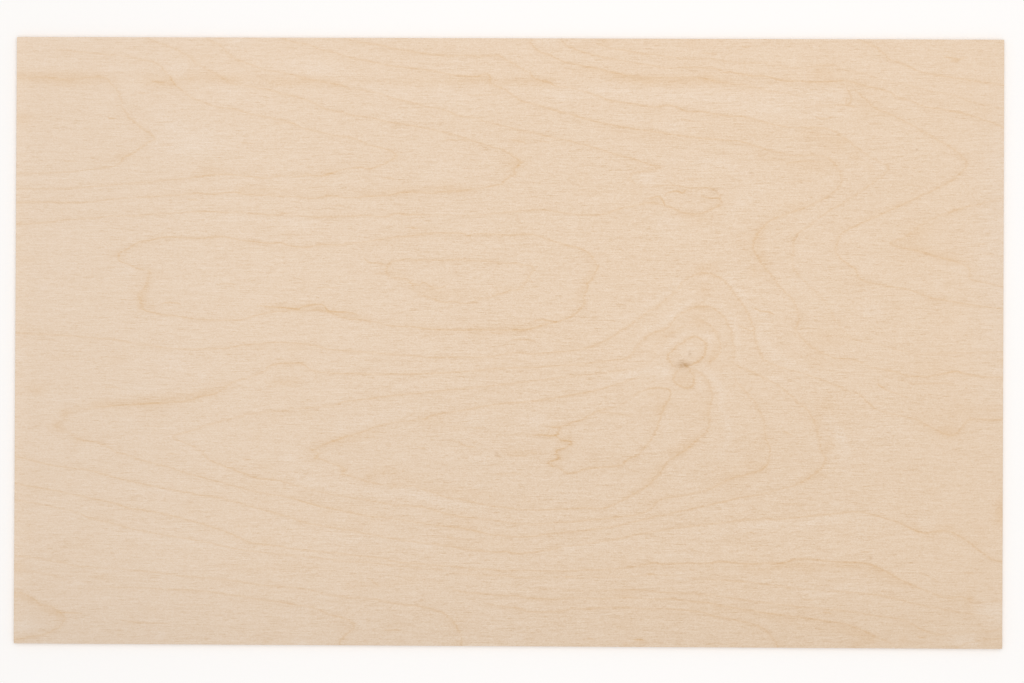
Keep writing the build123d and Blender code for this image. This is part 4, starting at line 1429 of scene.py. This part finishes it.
class PLYWOOD_OT_stage(bpy.types.Operator):
    """Sets the floor, the lamp, the even sky and the camera of the photograph"""

    bl_idname = "plywood.stage"
    bl_label = "Stage"

    def execute(self, context):
        stage = settings()[2]
        deselect_all()
        bpy.ops.mesh.primitive_plane_add(size=stage.floor_size, location=(0.0, 0.0, 0.0))
        floor = context.object
        floor.name = "floor"
        recipe = Recipe("floor_paint")
        shader = recipe.node("BsdfDiffuse", None, {"Color": (*stage.floor, 1.0)})
        recipe.node("OutputMaterial", None, {"Surface": shader})
        floor.data.materials.append(recipe.material)

        bpy.ops.object.light_add(type="AREA", location=stage.lamp_place)
        lamp = context.object
        lamp.name = "overhead_lamp"
        lamp.data.shape = "SQUARE"
        lamp.data.size = stage.lamp_size
        lamp.data.energy = stage.lamp_power
        lamp.rotation_euler = (-Vector(stage.lamp_place)).to_track_quat("-Z", "Y").to_euler()

        world = bpy.data.worlds.new("sky")
        world.use_nodes = True
        sky = world.node_tree.nodes["Background"]
        sky.inputs["Color"].default_value = (1.0, 1.0, 1.0, 1.0)
        sky.inputs["Strength"].default_value = stage.sky_strength
        context.scene.world = world

        bpy.ops.object.camera_add(location=stage.camera_place, rotation=stage.camera_turn)
        camera = context.object
        camera.name = "camera"
        camera.data.lens = stage.lens
        camera.data.sensor_width = stage.film
        context.scene.camera = camera
        context.scene.view_settings.view_transform = "Standard"
        return {"FINISHED"}


OPERATORS = (PLYWOOD_OT_face_veneer, PLYWOOD_OT_core_veneer, PLYWOOD_OT_back_veneer, PLYWOOD_OT_stage)


class PLYWOOD_PT_sidebar(bpy.types.Panel):
    """Lists what makes the sheet and its stage"""

    bl_idname = "PLYWOOD_PT_sidebar"
    bl_label = "Plywood Sheet"
    bl_space_type = "VIEW_3D"
    bl_region_type = "UI"
    bl_category = "Plywood"

    def draw(self, context):
        for operator in OPERATORS:
            self.layout.operator(operator.bl_idname)
        for group in settings():
            box = self.layout.box()
            for name in group.bl_rna.properties.keys():
                if name not in ("rna_type", "name"):
                    box.prop(group, name)


CLASSES = (WoodLook, PlyCut, StageLook, *OPERATORS, PLYWOOD_PT_sidebar)


def register():
    for item in CLASSES:
        bpy.utils.register_class(item)
    bpy.types.Scene.plywood_wood = PointerProperty(type=WoodLook)
    bpy.types.Scene.plywood_cut = PointerProperty(type=PlyCut)
    bpy.types.Scene.plywood_stage = PointerProperty(type=StageLook)


def unregister():
    del bpy.types.Scene.plywood_wood
    del bpy.types.Scene.plywood_cut
    del bpy.types.Scene.plywood_stage
    for item in reversed(CLASSES):
        bpy.utils.unregister_class(item)


def main():
    register()
    bpy.ops.plywood.face_veneer()
    bpy.ops.plywood.core_veneer()
    bpy.ops.plywood.back_veneer()
    bpy.ops.plywood.stage()


if __name__ == "__main__":
    main()
